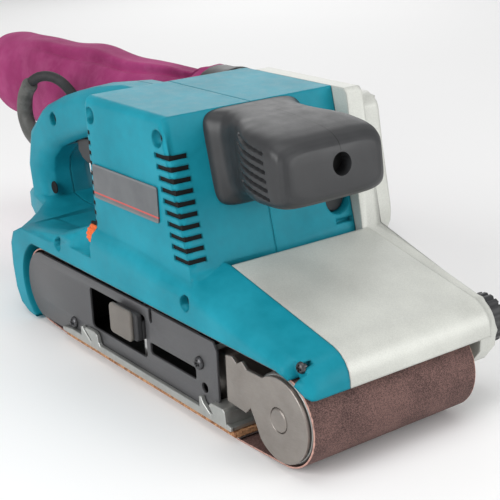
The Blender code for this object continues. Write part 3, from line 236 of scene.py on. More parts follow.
def metal(name, colour, roughness, stretch=(1, 30, 1), edge=0.0004, dirt=0.25):
    """Worked steel or alloy: drawn brushing, with handled dirt in broad patches."""
    finish = Finish(name, colour, roughness, 0.9)
    lines = finish.noise(220, 3, stretch=stretch)
    patches = finish.noise(55, 4, 0.6)
    dirty = patches.upto(0.42, 0.72) * dirt
    finish.feed("Base Color", finish.mix(dirty, colour, shade(colour, 0.35)))
    finish.feed("Roughness", lines.upto(0.3, 0.7) * 0.16 + dirty * 0.3 + (roughness - 0.08))
    return finish.bump(lines, 0.00003, 0.4, edge)


def grit_finish():
    """Closed-coat abrasive: grains on a red-brown bond, and a worn, paler edge."""
    finish = Finish("abrasive_grit", (0.10, 0.05, 0.045), 0.8, specular=0.35)
    grain = finish.cells(2600.0)
    broad = finish.noise(60, 3)
    share = (grain * 0.75 + broad.upto(0.35, 0.65) * 0.25).upto(0.15, 0.85)
    body = finish.mix(share, (0.060, 0.032, 0.030), (0.205, 0.115, 0.100))
    frayed = (finish.axis("Y").size() + finish.noise(500, 2) * 0.0012).upto(0.0502, 0.0506)
    finish.feed("Base Color", finish.mix(frayed, body, (0.62, 0.36, 0.30)))
    return finish.bump(grain, 0.00018, 0.9)


def cloth_finish():
    """Plain-woven bag cloth: over-and-under threads along the piece's own UV map."""
    finish = Finish("woven_magenta", (0.30, 0.02, 0.10), 0.86, specular=0.2)
    finish.shader.inputs["Sheen Weight"].default_value = 0.12
    finish.shader.inputs["Sheen Roughness"].default_value = 0.5
    finish.shader.inputs["Sheen Tint"].default_value = (0.9, 0.5, 0.7, 1)
    uv = finish.add("ShaderNodeTexCoord", output="UV")
    across, along = finish.axis("X", uv), finish.axis("Y", uv)
    threads = 2 * math.pi / 0.0009
    weave = (across * threads).sine() * (along * threads).sine()
    fade = finish.noise(14, 4, 0.6)
    dusty = finish.noise(70, 5, 0.65)
    base = finish.mix(fade.upto(0.35, 0.68), (0.235, 0.020, 0.098), (0.375, 0.042, 0.170))
    worn = finish.mix((dusty.upto(0.45, 0.8) + weave * 0.12) * 0.35, base, (0.46, 0.12, 0.26))
    finish.feed("Base Color", worn)
    return finish.bump(weave * 0.5 + dusty * 0.8, 0.00012, 0.8)


def label_finish(low, high):
    """Foil label: grey field with a thin red line near its lower edge."""
    finish = Finish("label_foil", (0.15, 0.16, 0.17), 0.38, 0.2, coat=0.3)
    z = finish.axis("Z")
    line = (z - (low + 0.0030)).size() < 0.00045
    edge = 1 - ((z - (low + high) / 2).size() < ((high - low) / 2 - 0.0011))
    cloud = finish.noise(90, 3).upto(0.3, 0.7)
    base = finish.mix(cloud, (0.085, 0.092, 0.10), (0.115, 0.123, 0.13))
    inked = finish.mix(line, base, (0.55, 0.05, 0.04))
    finish.feed("Base Color", finish.mix(edge * 0.6, inked, (0.17, 0.18, 0.19)))
    return finish.bump(finish.noise(1500, 2), 0.00002, 0.4)


def cork_finish():
    """Pressed cork: a tone for each granule."""
    finish = Finish("pressed_cork", (0.42, 0.2, 0.09), 0.9, specular=0.2)
    granule = finish.cells(800.0)
    finish.feed("Base Color", finish.mix(granule, (0.20, 0.085, 0.04), (0.60, 0.33, 0.17)))
    return finish.bump(granule, 0.0003, 0.8)


def rubber_finish(name, colour=(0.022, 0.022, 0.023), roughness=0.62):
    """Rubber or plain dark stock with paler scuffs."""
    finish = Finish(name, colour, roughness, specular=0.35)
    scuff = finish.noise(120, 4, 0.6)
    finish.feed("Base Color", finish.mix(scuff.upto(0.45, 0.75), colour, shade(colour, 2.0)))
    finish.feed("Roughness", scuff.upto(0.3, 0.7) * 0.2 + (roughness - 0.1))
    return finish.bump(finish.noise(1800, 2), 0.00006, 0.6)


# ---- shapes ---------------------------------------------------------------------------

def piece(name, points, faces, finish, body, replaces=(), smooth=30.0, uv=None):
    """Puts arrays of points and faces into one mesh object that rides on a body."""
    mesh = bpy.data.meshes.new(name)
    mesh.from_pydata(np.asarray(points, float).reshape(-1, 3).tolist(), [], faces)
    if uv is not None:
        layer = mesh.uv_layers.new(name="UVMap")
        loops = np.empty(len(mesh.loops), np.int32)
        mesh.loops.foreach_get("vertex_index", loops)
        layer.data.foreach_set("uv", np.asarray(uv, np.float32).reshape(-1, 2)[loops].ravel())
    mesh.validate()
    return dress(name, mesh, finish, body, replaces, smooth)


def dress(name, mesh, finish, body, replaces=(), smooth=30.0):
    """Links a mesh, shades it smooth below the given angle and hides the CAD nodes it replaces."""
    mesh.materials.clear()
    mesh.materials.append(finish.material)
    mesh.shade_smooth()
    if smooth < 180:
        mesh.set_sharp_from_angle(angle=math.radians(smooth))
    made = bpy.data.objects.new(name, mesh)
    bpy.context.scene.collection.objects.link(made)
    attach(made, body)
    if replaces:
        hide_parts(*replaces)
    return made


def grid_faces(rows, columns, wrap=True, cap=False):
    """Quads of a grid of rows x columns points; wrap closes each row into a ring."""
    across = columns if wrap else columns - 1
    i, j = np.meshgrid(np.arange(rows - 1), np.arange(across), indexing="ij")
    k = (j + 1) % columns
    quads = np.stack([i * columns + j, i * columns + k, (i + 1) * columns + k,
                      (i + 1) * columns + j], -1).reshape(-1, 4).tolist()
    if cap:
        quads.append(list(range(columns))[::-1])
        quads.append([(rows - 1) * columns + j for j in range(columns)])
    return quads


def outward(mesh):
    """Turns every face of a closed mesh outwards."""
    bm = bmesh.new()
    bm.from_mesh(mesh)
    bmesh.ops.remove_doubles(bm, verts=bm.verts, dist=1e-7)
    bmesh.ops.recalc_face_normals(bm, faces=bm.faces)
    bm.to_mesh(mesh)
    bm.free()


def cast(name, nodes, finish, body, smooth=32.0, bevel=0.0):
    """One merged copy of CAD solids, shaded smooth across its shallow facets."""
    bm = bmesh.new()
    for node in nodes:
        bm.from_mesh(NODES[node].data)
    bmesh.ops.remove_doubles(bm, verts=bm.verts, dist=2e-6)
    bmesh.ops.dissolve_limit(bm, angle_limit=math.radians(0.5), use_dissolve_boundaries=False,
                             verts=bm.verts, edges=bm.edges)
    mesh = bpy.data.meshes.new(name)
    bm.to_mesh(mesh)
    bm.free()
    made = dress(name, mesh, finish, body, nodes, smooth)
    return rounded_edges(made, bevel, angle=smooth)


def smooth_line(points, per_span):
    """A Catmull-Rom curve through the points, as an array."""
    p = np.asarray(points, float)
    p = np.vstack([2 * p[0] - p[1], p, 2 * p[-1] - p[-2]])
    t = (np.arange(per_span) / per_span)[None, :, None]
    a, b, c, d = (p[k:len(p) - 3 + k][:, None, :] for k in range(4))
    curve = 0.5 * (2 * b + (c - a) * t + (2 * a - 5 * b + 4 * c - d) * t ** 2
                   + (3 * b - a - 3 * c + d) * t ** 3)
    return np.vstack([curve.reshape(-1, 3), p[-2]])


def evenly(points, step):
    """The same line with points a step apart."""
    lengths = np.concatenate([[0], np.cumsum(np.linalg.norm(np.diff(points, axis=0), axis=1))])
    places = np.linspace(0, lengths[-1], max(2, int(round(lengths[-1] / step)) + 1))
    return np.stack([np.interp(places, lengths, points[:, k]) for k in range(3)], 1)


def swept(path, radii, sides=16):
    """Rings round a path: each ring's frame is the last one turned along the path."""
    path = np.asarray(path, float)
    ahead = np.gradient(path, axis=0)
    ahead /= np.linalg.norm(ahead, axis=1)[:, None]
    normals = np.empty_like(path)
    normal = np.cross(ahead[0], [0.13, 0.97, 0.2])
    for i, direction in enumerate(ahead):
        normal = normal - direction * (normal @ direction)
        normal /= np.linalg.norm(normal)
        normals[i] = normal
    sideways = np.cross(ahead, normals)
    angle = np.linspace(0, 2 * math.pi, sides, endpoint=False)
    radii = np.broadcast_to(np.asarray(radii, float), (len(path),))[:, None, None]
    rings = path[:, None] + radii * (normals[:, None] * np.cos(angle)[None, :, None]
                                     + sideways[:, None] * np.sin(angle)[None, :, None])
    return rings.reshape(-1, 3), grid_faces(len(path), sides, cap=True)


def turned(profile, centre, axis, sides=48):
    """A closed profile of (radius, height) pairs turned round an axis through centre."""
    profile = np.asarray(profile, float)
    axis = np.asarray(axis, float)
    side = np.cross(axis, [0.0, 0.0, 1.0] if abs(axis[2]) < 0.9 else [1.0, 0.0, 0.0])
    other = np.cross(axis, side)
    angle = np.linspace(0, 2 * math.pi, sides, endpoint=False)
    ring = side[None] * np.cos(angle)[:, None] + other[None] * np.sin(angle)[:, None]
    points = (np.asarray(centre, float) + profile[:, None, :1] * ring[None]
              + profile[:, None, 1:] * axis[None, None])
    closed = np.vstack([points.reshape(-1, 3), points[0]])
    return closed, grid_faces(len(profile) + 1, sides)


def rounded_box(low_x, low_z, high_x, high_z, radius, steps=5):
    """A rectangle in X and Z with quarter-circle corners, as a list of points."""
    points = []
    left, right, under, over = low_x + radius, high_x - radius, low_z + radius, high_z - radius
    corners = ((right, over, 0), (left, over, 90), (left, under, 180), (right, under, 270))
    for x, z, start in corners:
        for angle in np.radians(np.linspace(start, start + 90, steps)):
            points.append((x + radius * math.cos(angle), z + radius * math.sin(angle)))
    return points


def blocks(name, parts, finish, body, replaces=(), bevel=0.0003, segments=2):
    """Closed prisms in one mesh: each outline in X and Z, in millimetres, is carried along Y."""
    points, faces = [], []
    for outline, start, end in parts:
        first, n = len(points), len(outline)
        points += [(x * MM, y * MM, z * MM) for y in (start, end) for x, z in outline]
        ring = [(first + k, first + (k + 1) % n) for k in range(n)]
        faces += [(a, b, b + n, a + n) for a, b in ring]
        faces.append(tuple(range(first, first + n)))
        faces.append(tuple(range(first + 2 * n - 1, first + n - 1, -1)))
    made = piece(name, points, faces, finish, body, replaces, 34)
    outward(made.data)
    return rounded_edges(made, bevel, segments)


def rounded_edges(made, bevel, segments=2, angle=34):
    """Rounds every edge sharper than the angle, with shading kept level on the flats."""
    if bevel:
        rounding = made.modifiers.new("rounded edges", "BEVEL")
        rounding.width = bevel
        rounding.segments = segments
        rounding.limit_method = "ANGLE"
        rounding.angle_limit = math.radians(angle)
        rounding.harden_normals = True
    weights = made.modifiers.new("even shading", "WEIGHTED_NORMAL")
    weights.keep_sharp = True
    return made


SHEET_EDGE = 0.25 * MM


def sheet_metal(name, outline, holes, y, thickness, finish, body, replaces):
    """A flat sheet in X and Z with holes: a filled curve given thickness, then made a mesh.

    Its edges are rounded by SHEET_EDGE, and its outline is drawn in by as much to keep its size."""
    curve = bpy.data.curves.new(name, "CURVE")
    curve.dimensions = "2D"
    curve.fill_mode = "BOTH"
    curve.bevel_depth = SHEET_EDGE
    curve.bevel_resolution = 1
    curve.offset = -SHEET_EDGE
    curve.extrude = thickness / 2 * MM - SHEET_EDGE
    for loop in (outline, *holes):
        spline = curve.splines.new("POLY")
        spline.points.add(len(loop) - 1)
        spline.use_cyclic_u = True
        for point, (x, z) in zip(spline.points, loop):
            point.co = (x * MM, z * MM, 0, 1)
    holder = bpy.data.objects.new(name, curve)
    mesh = bpy.data.meshes.new_from_object(holder)
    bpy.data.objects.remove(holder)
    upright = Matrix(((1, 0, 0, 0), (0, 0, -1, y * MM), (0, 1, 0, 0), (0, 0, 0, 1)))
    mesh.transform(upright)
    outward(mesh)
    return dress(name, mesh, finish, body, replaces, 40)


def cross_head(name, node, finish, height=2.2 * MM):
    """A screw head facing -Y on a grid of radius and angle: a flattened dome less a cross."""
    low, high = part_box(node)
    centre = (low + high) / 2
    radius = (high.x - low.x) / 2
    share = np.linspace(0.03, 1, 16)[:, None]
    angle = np.linspace(0, 2 * math.pi, 48, endpoint=False)[None]
    dome = height * (1 - share ** 3) ** 0.55 + 0 * angle
    across, along = np.abs(share * np.cos(angle)), np.abs(share * np.sin(angle))
    arms = np.maximum(ease((0.2 - across) / 0.07) * ease((0.66 - along) / 0.1),
                      ease((0.2 - along) / 0.07) * ease((0.66 - across) / 0.1))
    rise = dome - 0.62 * height * arms
    ring = np.stack([centre.x + radius * share * np.cos(angle), low.y + height - rise,
                     centre.z + radius * share * np.sin(angle)], -1)
    shank = ring[-1:].copy()
    shank[..., 0] = centre.x + (shank[..., 0] - centre.x) * 0.5
    shank[..., 2] = centre.z + (shank[..., 2] - centre.z) * 0.5
    deep = shank.copy()
    deep[..., 1] += 2.0 * MM
    rows = np.concatenate([ring, shank, deep])
    made = piece(name, rows, grid_faces(len(rows), 48, cap=True), finish, "machine",
                 (node,), 50)
    outward(made.data)
    return made


# ---- sizes and colours ----------------------------------------------------------------

class StageSizes(bpy.types.PropertyGroup):
    lens: bpy.props.FloatProperty(name="Lens", description="Camera lens", default=88.37,
                                  unit="CAMERA")
    floor: bpy.props.FloatProperty(name="Floor", description="Width of the floor", default=24.0,
                                   unit="LENGTH")
    floor_colour: bpy.props.FloatVectorProperty(
        name="Floor colour", description="Pale floor", subtype="COLOR", default=(0.93, 0.93, 0.93))


class HousingSizes(bpy.types.PropertyGroup):
    colour: bpy.props.FloatVectorProperty(
        name="Housing colour", description="Moulded housing", subtype="COLOR",
        default=(0.006, 0.245, 0.325))
    grip_colour: bpy.props.FloatVectorProperty(
        name="Grip colour", description="Front grip and knobs", subtype="COLOR",
        default=(0.026, 0.027, 0.029))
    silver: bpy.props.FloatVectorProperty(
        name="Casting colour", description="Lacquered casting", subtype="COLOR",
        default=(0.60, 0.61, 0.565))


class BeltSizes(bpy.types.PropertyGroup):
    thickness: bpy.props.FloatProperty(name="Belt thickness", description="Cloth and grit",
                                       default=0.0008, unit="LENGTH")


class BagSizes(bpy.types.PropertyGroup):
    pressure: bpy.props.FloatProperty(name="Bag pressure", description="Air in the bag",
                                      default=1.2)
    cap: bpy.props.FloatProperty(name="Bag swell", description="Most that the cloth may move",
                                 default=0.009, unit="LENGTH")


class CordSizes(bpy.types.PropertyGroup):
    radius: bpy.props.FloatProperty(name="Cord radius", description="Half the lead's thickness",
                                    default=0.0034, unit="LENGTH")


FINISHES = {}


def finish_of(name):
    """Each finish is made once, when it is first asked for."""
    if name not in FINISHES:
        sizes = bpy.context.scene.sander_housing
        grip = tuple(sizes.grip_colour), 0.42, 1500, 0.00008, 0.42
        makers = {
            "teal": lambda: moulded("teal_housing", tuple(sizes.colour), 0.40, edge=0.0020),
            "grip": lambda: moulded("dark_grip", *grip, 0.0015),
            "seamed grip": lambda: moulded("seamed_grip", *grip, 0.0, (SEAM_Y * MM, SEAM_LOW)),
            "silver": lambda: painted("silver_lacquer", tuple(sizes.silver), 0.42, 0.12, 0.0015),
            "alloy": lambda: metal("cast_alloy", (0.50, 0.51, 0.49), 0.48, (1, 1, 1)),
            "plate": lambda: painted("dark_plate", (0.098, 0.098, 0.102), 0.45, 0.35, 0.0003),
            "bracket": lambda: metal("bracket_steel", (0.33, 0.30, 0.275), 0.46, (2, 1, 22)),
            "steel": lambda: metal("turned_steel", (0.56, 0.56, 0.55), 0.32),
            "copper": lambda: metal("copper_winding", (0.62, 0.30, 0.15), 0.38),
            "rubber": lambda: rubber_finish("black_rubber"),
            "guard": lambda: rubber_finish("guard_rubber", (0.085, 0.085, 0.080), 0.5),
            "screw": lambda: metal("blackened_steel", (0.10, 0.10, 0.105), 0.38, (1, 1, 1)),
            # painted shade: a near-black finish for slabs set where slots and bores fall into shade
            "shadow": lambda: rubber_finish("painted_shade_lining", (0.004, 0.004, 0.004), 0.85),
            "inner": lambda: metal("dark_casting", (0.05, 0.05, 0.052), 0.55, (1, 1, 1)),
            "knob": lambda: moulded("warm_grey_knob", (0.17, 0.155, 0.14), 0.42),
            "grit": grit_finish,
            "cork": cork_finish,
            "cloth": cloth_finish,
            "graphite": lambda: rubber_finish("graphite_cloth", (0.04, 0.04, 0.045), 0.5),
            "orange": lambda: moulded("orange_wheel", (0.80, 0.16, 0.045), 0.45),
            "lever": lambda: moulded("lever_plastic", (0.050, 0.050, 0.052), 0.46),
        }
        FINISHES[name] = makers[name]()
    return FINISHES[name]


class SanderOperator(bpy.types.Operator):
    """Shared settings of the sander's operators."""
    bl_options = {"REGISTER", "UNDO"}


# ---- stage ----------------------------------------------------------------------------

CAMERA_TURN = (144.92, 18.84, -2.6)
CAMERA_PLACE = (0.52193, -0.34873, 0.27907)
# name, place, size and power: a key at the open side, a weak light behind, one ahead, one above
LIGHTS = (("key", (0.25, -1.35, 0.80), 1.0, 15.0), ("back", (-1.25, 0.95, 0.75), 1.2, 4.5),
          ("front", (1.30, 0.75, 0.55), 1.0, 9.0), ("top", (0.1, 0.1, 1.6), 1.3, 6.0))


class SANDER_OT_stage(SanderOperator):
    """Camera, pale floor and soft lights"""
    bl_idname = "sander.stage"
    bl_label = "Stage"

    def execute(self, context):
        sizes = context.scene.sander_stage
        self.camera(context, sizes)
        self.floor(sizes)
        self.lights(context)
        return {"FINISHED"}

    @staticmethod
    def camera(context, sizes):
        """Yaw from +X, pitch below level and roll make the look, right and up directions."""
        yaw, pitch, roll = (math.radians(a) for a in CAMERA_TURN)
        look = Vector((math.cos(yaw) * math.cos(pitch), math.sin(yaw) * math.cos(pitch),
                       -math.sin(pitch)))
        right = look.cross(Vector((0, 0, 1))).normalized()
        up = right.cross(look)
        turned_right = right * math.cos(roll) + up * math.sin(roll)
        turned_up = up * math.cos(roll) - right * math.sin(roll)
        lens = bpy.data.cameras.new("camera")
        lens.lens = sizes.lens
        lens.sensor_width = 36.0
        lens.clip_start = 0.02
        lens.clip_end = 60.0
        camera = bpy.data.objects.new("camera", lens)
        matrix = Matrix((turned_right, turned_up, -look)).transposed().to_4x4()
        matrix.translation = Vector(CAMERA_PLACE)
        camera.matrix_world = matrix
        context.scene.collection.objects.link(camera)
        context.scene.camera = camera

    @staticmethod
    def floor(sizes):
        half = sizes.floor / 2
        mesh = bpy.data.meshes.new("floor")
        mesh.from_pydata([(-half, -half, 0), (half, -half, 0), (half, half, 0), (-half, half, 0)],
                         [], [(0, 1, 2, 3)])
        paper = Finish("pale_floor", tuple(sizes.floor_colour), 0.85, specular=0.1)
        mottle = paper.noise(3, 2)
        colour = tuple(sizes.floor_colour)
        paper.feed("Base Color", paper.mix(mottle, colour, shade(colour, 1.02)))
        mesh.materials.append(paper.material)
        floor = bpy.data.objects.new("floor", mesh)
        bpy.context.scene.collection.objects.link(floor)

    @staticmethod
    def lights(context):
        world = bpy.data.worlds.new("soft room")
        world.use_nodes = True
        backdrop = world.node_tree.nodes["Background"]
        backdrop.inputs["Color"].default_value = (1.0, 1.0, 1.0, 1)
        backdrop.inputs["Strength"].default_value = 0.45
        context.scene.world = world
        context.scene.view_settings.view_transform = "Standard"
        for name, place, size, power in LIGHTS:
            lamp = bpy.data.lights.new(name, "AREA")
            lamp.shape = "DISK"
            lamp.size = size
            lamp.energy = power
            light = bpy.data.objects.new(name, lamp)
            light.location = place
            aim = Vector((0, 0, 0.08)) - Vector(place)
            light.rotation_euler = aim.to_track_quat("-Z", "Y").to_euler()
            context.scene.collection.objects.link(light)


# ---- cord -----------------------------------------------------------------------------

GUARD_POINTS = ((-86, 88), (-100, 88), (-113, 93), (-119.5, 104), (-116, 117), (-107, 126))
GUARD_Y = 2.0
CORD_ROUTE = ((-105.9, 2.2, 127.3), (-101.5, 5.4, 130.6), (-96.4, 9.2, 131.6), (-91, 13.0, 130.2),
              (-86.5, 16.6, 126.3), (-82.6, 20.3, 119.5), (-79, 24.3, 110.5), (-76, 27.6, 100),
              (-73.6, 29.2, 88), (-74.5, 29.4, 74), (-80.5, 30, 56), (-91, 34, 38), (-103, 40, 22),
              (-115, 49, 10), (-125, 62, 4.2), (-129.5, 79, 3.5), (-126, 97, 3.5), (-115, 115, 3.5),
              (-101, 133, 3.5), (-86, 158, 3.5))
COIL_CENTRE = (-30.0, 175.0)
COIL_PITCH = 7.0
COIL_MIDDLE = 41.0
COIL_FLOOR = 3.5
# turned angle in degrees at which the lead starts to shift, and its shift in columns, layers
COIL_SHIFTS = ((270, -1, 0), (630, -1, 0), (990, -1, 0), (1285, 0, 1), (1580, 1, 0), (1940, 1, 0),
               (2300, 1, 0), (2595, 0, 1))
COIL_SHIFT_SPAN = 65.0
COIL_START, COIL_TURN = 170.0, 2825.0
PLUG_LOCAL = -80.0
PLUG_HEIGHT = 9.5


def ease(t):
    """0 to 1 with level ends: three squares less two cubes."""
    t = np.clip(t, 0, 1)
    return t * t * (3 - 2 * t)


def softened(values, reach):
    """A running mean over reach values each way, weighted by a raised cosine."""
    kernel = np.hanning(2 * reach + 1)
    kernel /= kernel.sum()
    return np.convolve(np.pad(values, reach, mode="edge"), kernel, "valid")


def coil_line():
    """Eight turns in four columns and three layers, then a run out to the plug."""
    turn = np.arange(0, COIL_TURN + 1, 6.0)
    radius = np.full_like(turn, COIL_MIDDLE + COIL_PITCH)
    height = np.full_like(turn, COIL_FLOOR)
    for start, columns, layers in COIL_SHIFTS:
        share = ease((turn - start) / COIL_SHIFT_SPAN)
        radius += share * columns * COIL_PITCH
        height += share * layers * COIL_PITCH
    angle = np.radians(COIL_START - turn)
    coil = np.stack([radius * np.cos(angle), radius * np.sin(angle), height], 1)
    end, away = coil[-1], math.radians(COIL_START - COIL_TURN - 90)
    run = np.arange(4, 37, 4.0)
    straight = np.stack([end[0] + run * math.cos(away), end[1] + run * math.sin(away),
                         np.full_like(run, end[2])], 1)
    bend = np.array([[PLUG_LOCAL + 13, -1.3, 0], [PLUG_LOCAL + 5, -0.15, 0],
                     [PLUG_LOCAL - 3, 0, 0]])
    tail = np.vstack([straight, bend])
    drop = ease((np.hypot(tail[:, 0], tail[:, 1]) - 53) / (-PLUG_LOCAL - 53))
    tail[:, 2] = end[2] + (PLUG_HEIGHT - end[2]) * drop
    return np.vstack([coil, tail])


class SANDER_OT_cord(SanderOperator):
    """Mains lead with its guard, coil and plug"""
    bl_idname = "sander.cord"
    bl_label = "Cord"

    def execute(self, context):
        radius = context.scene.sander_cord.radius
        route = np.array(CORD_ROUTE) + [REAR, 0, 0]
        coil = coil_line() + [REAR + COIL_CENTRE[0], COIL_CENTRE[1], 0]
        path = evenly(smooth_line(np.vstack([route, coil]), 6), 2.5) * MM
        points, faces = swept(path, radius, 14)
        lead = piece("power_lead", points, faces, finish_of("rubber"), "machine",
                     ("power_cord", "cord_coil"), 180)
        plug = self.plug(path[-1])
        self.guard()
        return {"FINISHED"}

    @staticmethod
    def guard():
        path = smooth_line([(REAR + x, GUARD_Y, z) for x, z in GUARD_POINTS], 8) * MM
        share = np.linspace(0, 1, len(path))
        radii = 5.9 * MM - 1.0 * MM * share + 0.45 * MM * np.exp(-((share - 0.965) / 0.03) ** 2)
        points, faces = swept(path, radii, 24)
        piece("lead_guard", points, faces, finish_of("guard"), "machine",
              ("cord_guard",), 50)

    @staticmethod
    def plug(start):
        """Moulded plug: rounded-square rings along -X with a ribbed neck, and two pins."""
        stations = [(-3, 4.3, 4.3, 2.2)]
        for k in range(5):
            stations += [(k * 2.6, 4.6 + 0.2 * k, 4.5 + 0.15 * k, 2.2),
                         (k * 2.6 + 1.3, 4.6 + 0.2 * k, 4.5 + 0.15 * k, 2.2),
                         (k * 2.6 + 1.5, 4.1 + 0.2 * k, 4.1 + 0.15 * k, 2.2),
                         (k * 2.6 + 2.4, 4.1 + 0.2 * k, 4.1 + 0.15 * k, 2.2)]
        stations += [(14, 6.5, 5.5, 2.6), (17, 11, 7.6, 3.2), (21, 14, 8.8, 3.6),
                     (34, 14.8, 9.0, 3.8), (39, 14.4, 8.7, 3.8), (40, 13.4, 8.0, 3.6)]
        angle = np.linspace(0, 2 * math.pi, 40, endpoint=False)
        c, s = np.cos(angle), np.sin(angle)
        rings = []
        for x, wide, high, power in stations:
            y = wide * np.sign(c) * np.abs(c) ** (2 / power)
            z = high * np.sign(s) * np.abs(s) ** (2 / power)
            rings.append(np.stack([np.full_like(c, -x), y, z], 1))
        points = np.array(rings).reshape(-1, 3) * MM + start
        body = piece("mains_plug", points, grid_faces(len(rings), 40, cap=True),
                     finish_of("rubber"), "machine", ("plug_body",), 40)
        outward(body.data)
        made = [body]
        for k, side in enumerate((9.5, -9.5)):
            profile = [(0, 40.2), (2.4, 40.2), (2.4, 58), (1.6, 59.2), (0, 59.2)]
            points, faces = turned(np.array(profile) * MM,
                                   np.array(start) + [0, side * MM, 0], (-1, 0, 0), 24)
            pin = piece(f"mains_pin_{k + 1}", points, faces, finish_of("steel"), "machine",
                        (f"plug_pin_{k + 1}",), 40)
            outward(pin.data)
            made.append(pin)
        return made


# ---- belt -----------------------------------------------------------------------------

# how far the flat run ends from the rear and front axes, and how far the belt takes to rise from it
PLATEN_ENDS = (0.026, 0.035)
BELT_RUNS = (0.028, 0.031)


class SANDER_OT_belt(SanderOperator):
    """Abrasive belt round both rollers: two arcs and the flat run, outside and inside"""
    bl_idname = "sander.belt"
    bl_label = "Sanding belt"

    def execute(self, context):
        thickness = context.scene.sander_belt.thickness
        drop, rise = (math.degrees(math.atan2(AXIS_Z - BELT_RADIUS, run)) for run in BELT_RUNS)
        loops = []
        for inset in (0.0, thickness):
            radius = BELT_RADIUS - inset
            back = np.radians(np.linspace(90, 270 - drop, 60))
            nose = np.radians(np.linspace(-90 + rise, 90, 72))
            loops.append(np.vstack([
                np.stack([X_REAR + radius * np.cos(back), AXIS_Z + radius * np.sin(back)], 1),
                [[X_REAR + PLATEN_ENDS[0], inset], [X_FRONT - PLATEN_ENDS[1], inset]],
                np.stack([X_FRONT + radius * np.cos(nose), AXIS_Z + radius * np.sin(nose)], 1)]))
        outer, inner = loops
        half = (BELT_HIGH.y - BELT_LOW.y) / 2
        rows = []
        for loop, y in ((outer, -half), (outer, -half + 0.0004), (outer, half - 0.0004),
                        (outer, half), (inner, half), (inner, -half)):
            rows.append(np.stack([loop[:, 0], np.full(len(loop), y), loop[:, 1]], 1))
        rows.append(rows[0])
        made = piece("abrasive_belt", np.array(rows), grid_faces(len(rows), len(outer)),
                     finish_of("grit"), "machine", ("sanding_belt",), 40)
        outward(made.data)
        return {"FINISHED"}


# ---- bag ------------------------------------------------------------------------------

# share of the bag's length, half width, low and high Z in millimetres
BAG_STATIONS = ((0.0, 20, 106, 146), (0.05, 23, 101, 150), (0.16, 24.5, 93, 151),
                (0.32, 25, 88, 150.5), (0.48, 25, 86, 150.5), (0.65, 26, 85, 150.5),
                (0.80, 26, 85, 150.5), (0.92, 25, 87, 150), (0.98, 21, 94, 147),
                (1.0, 13, 101, 140))
BAG_FRAMES = 18


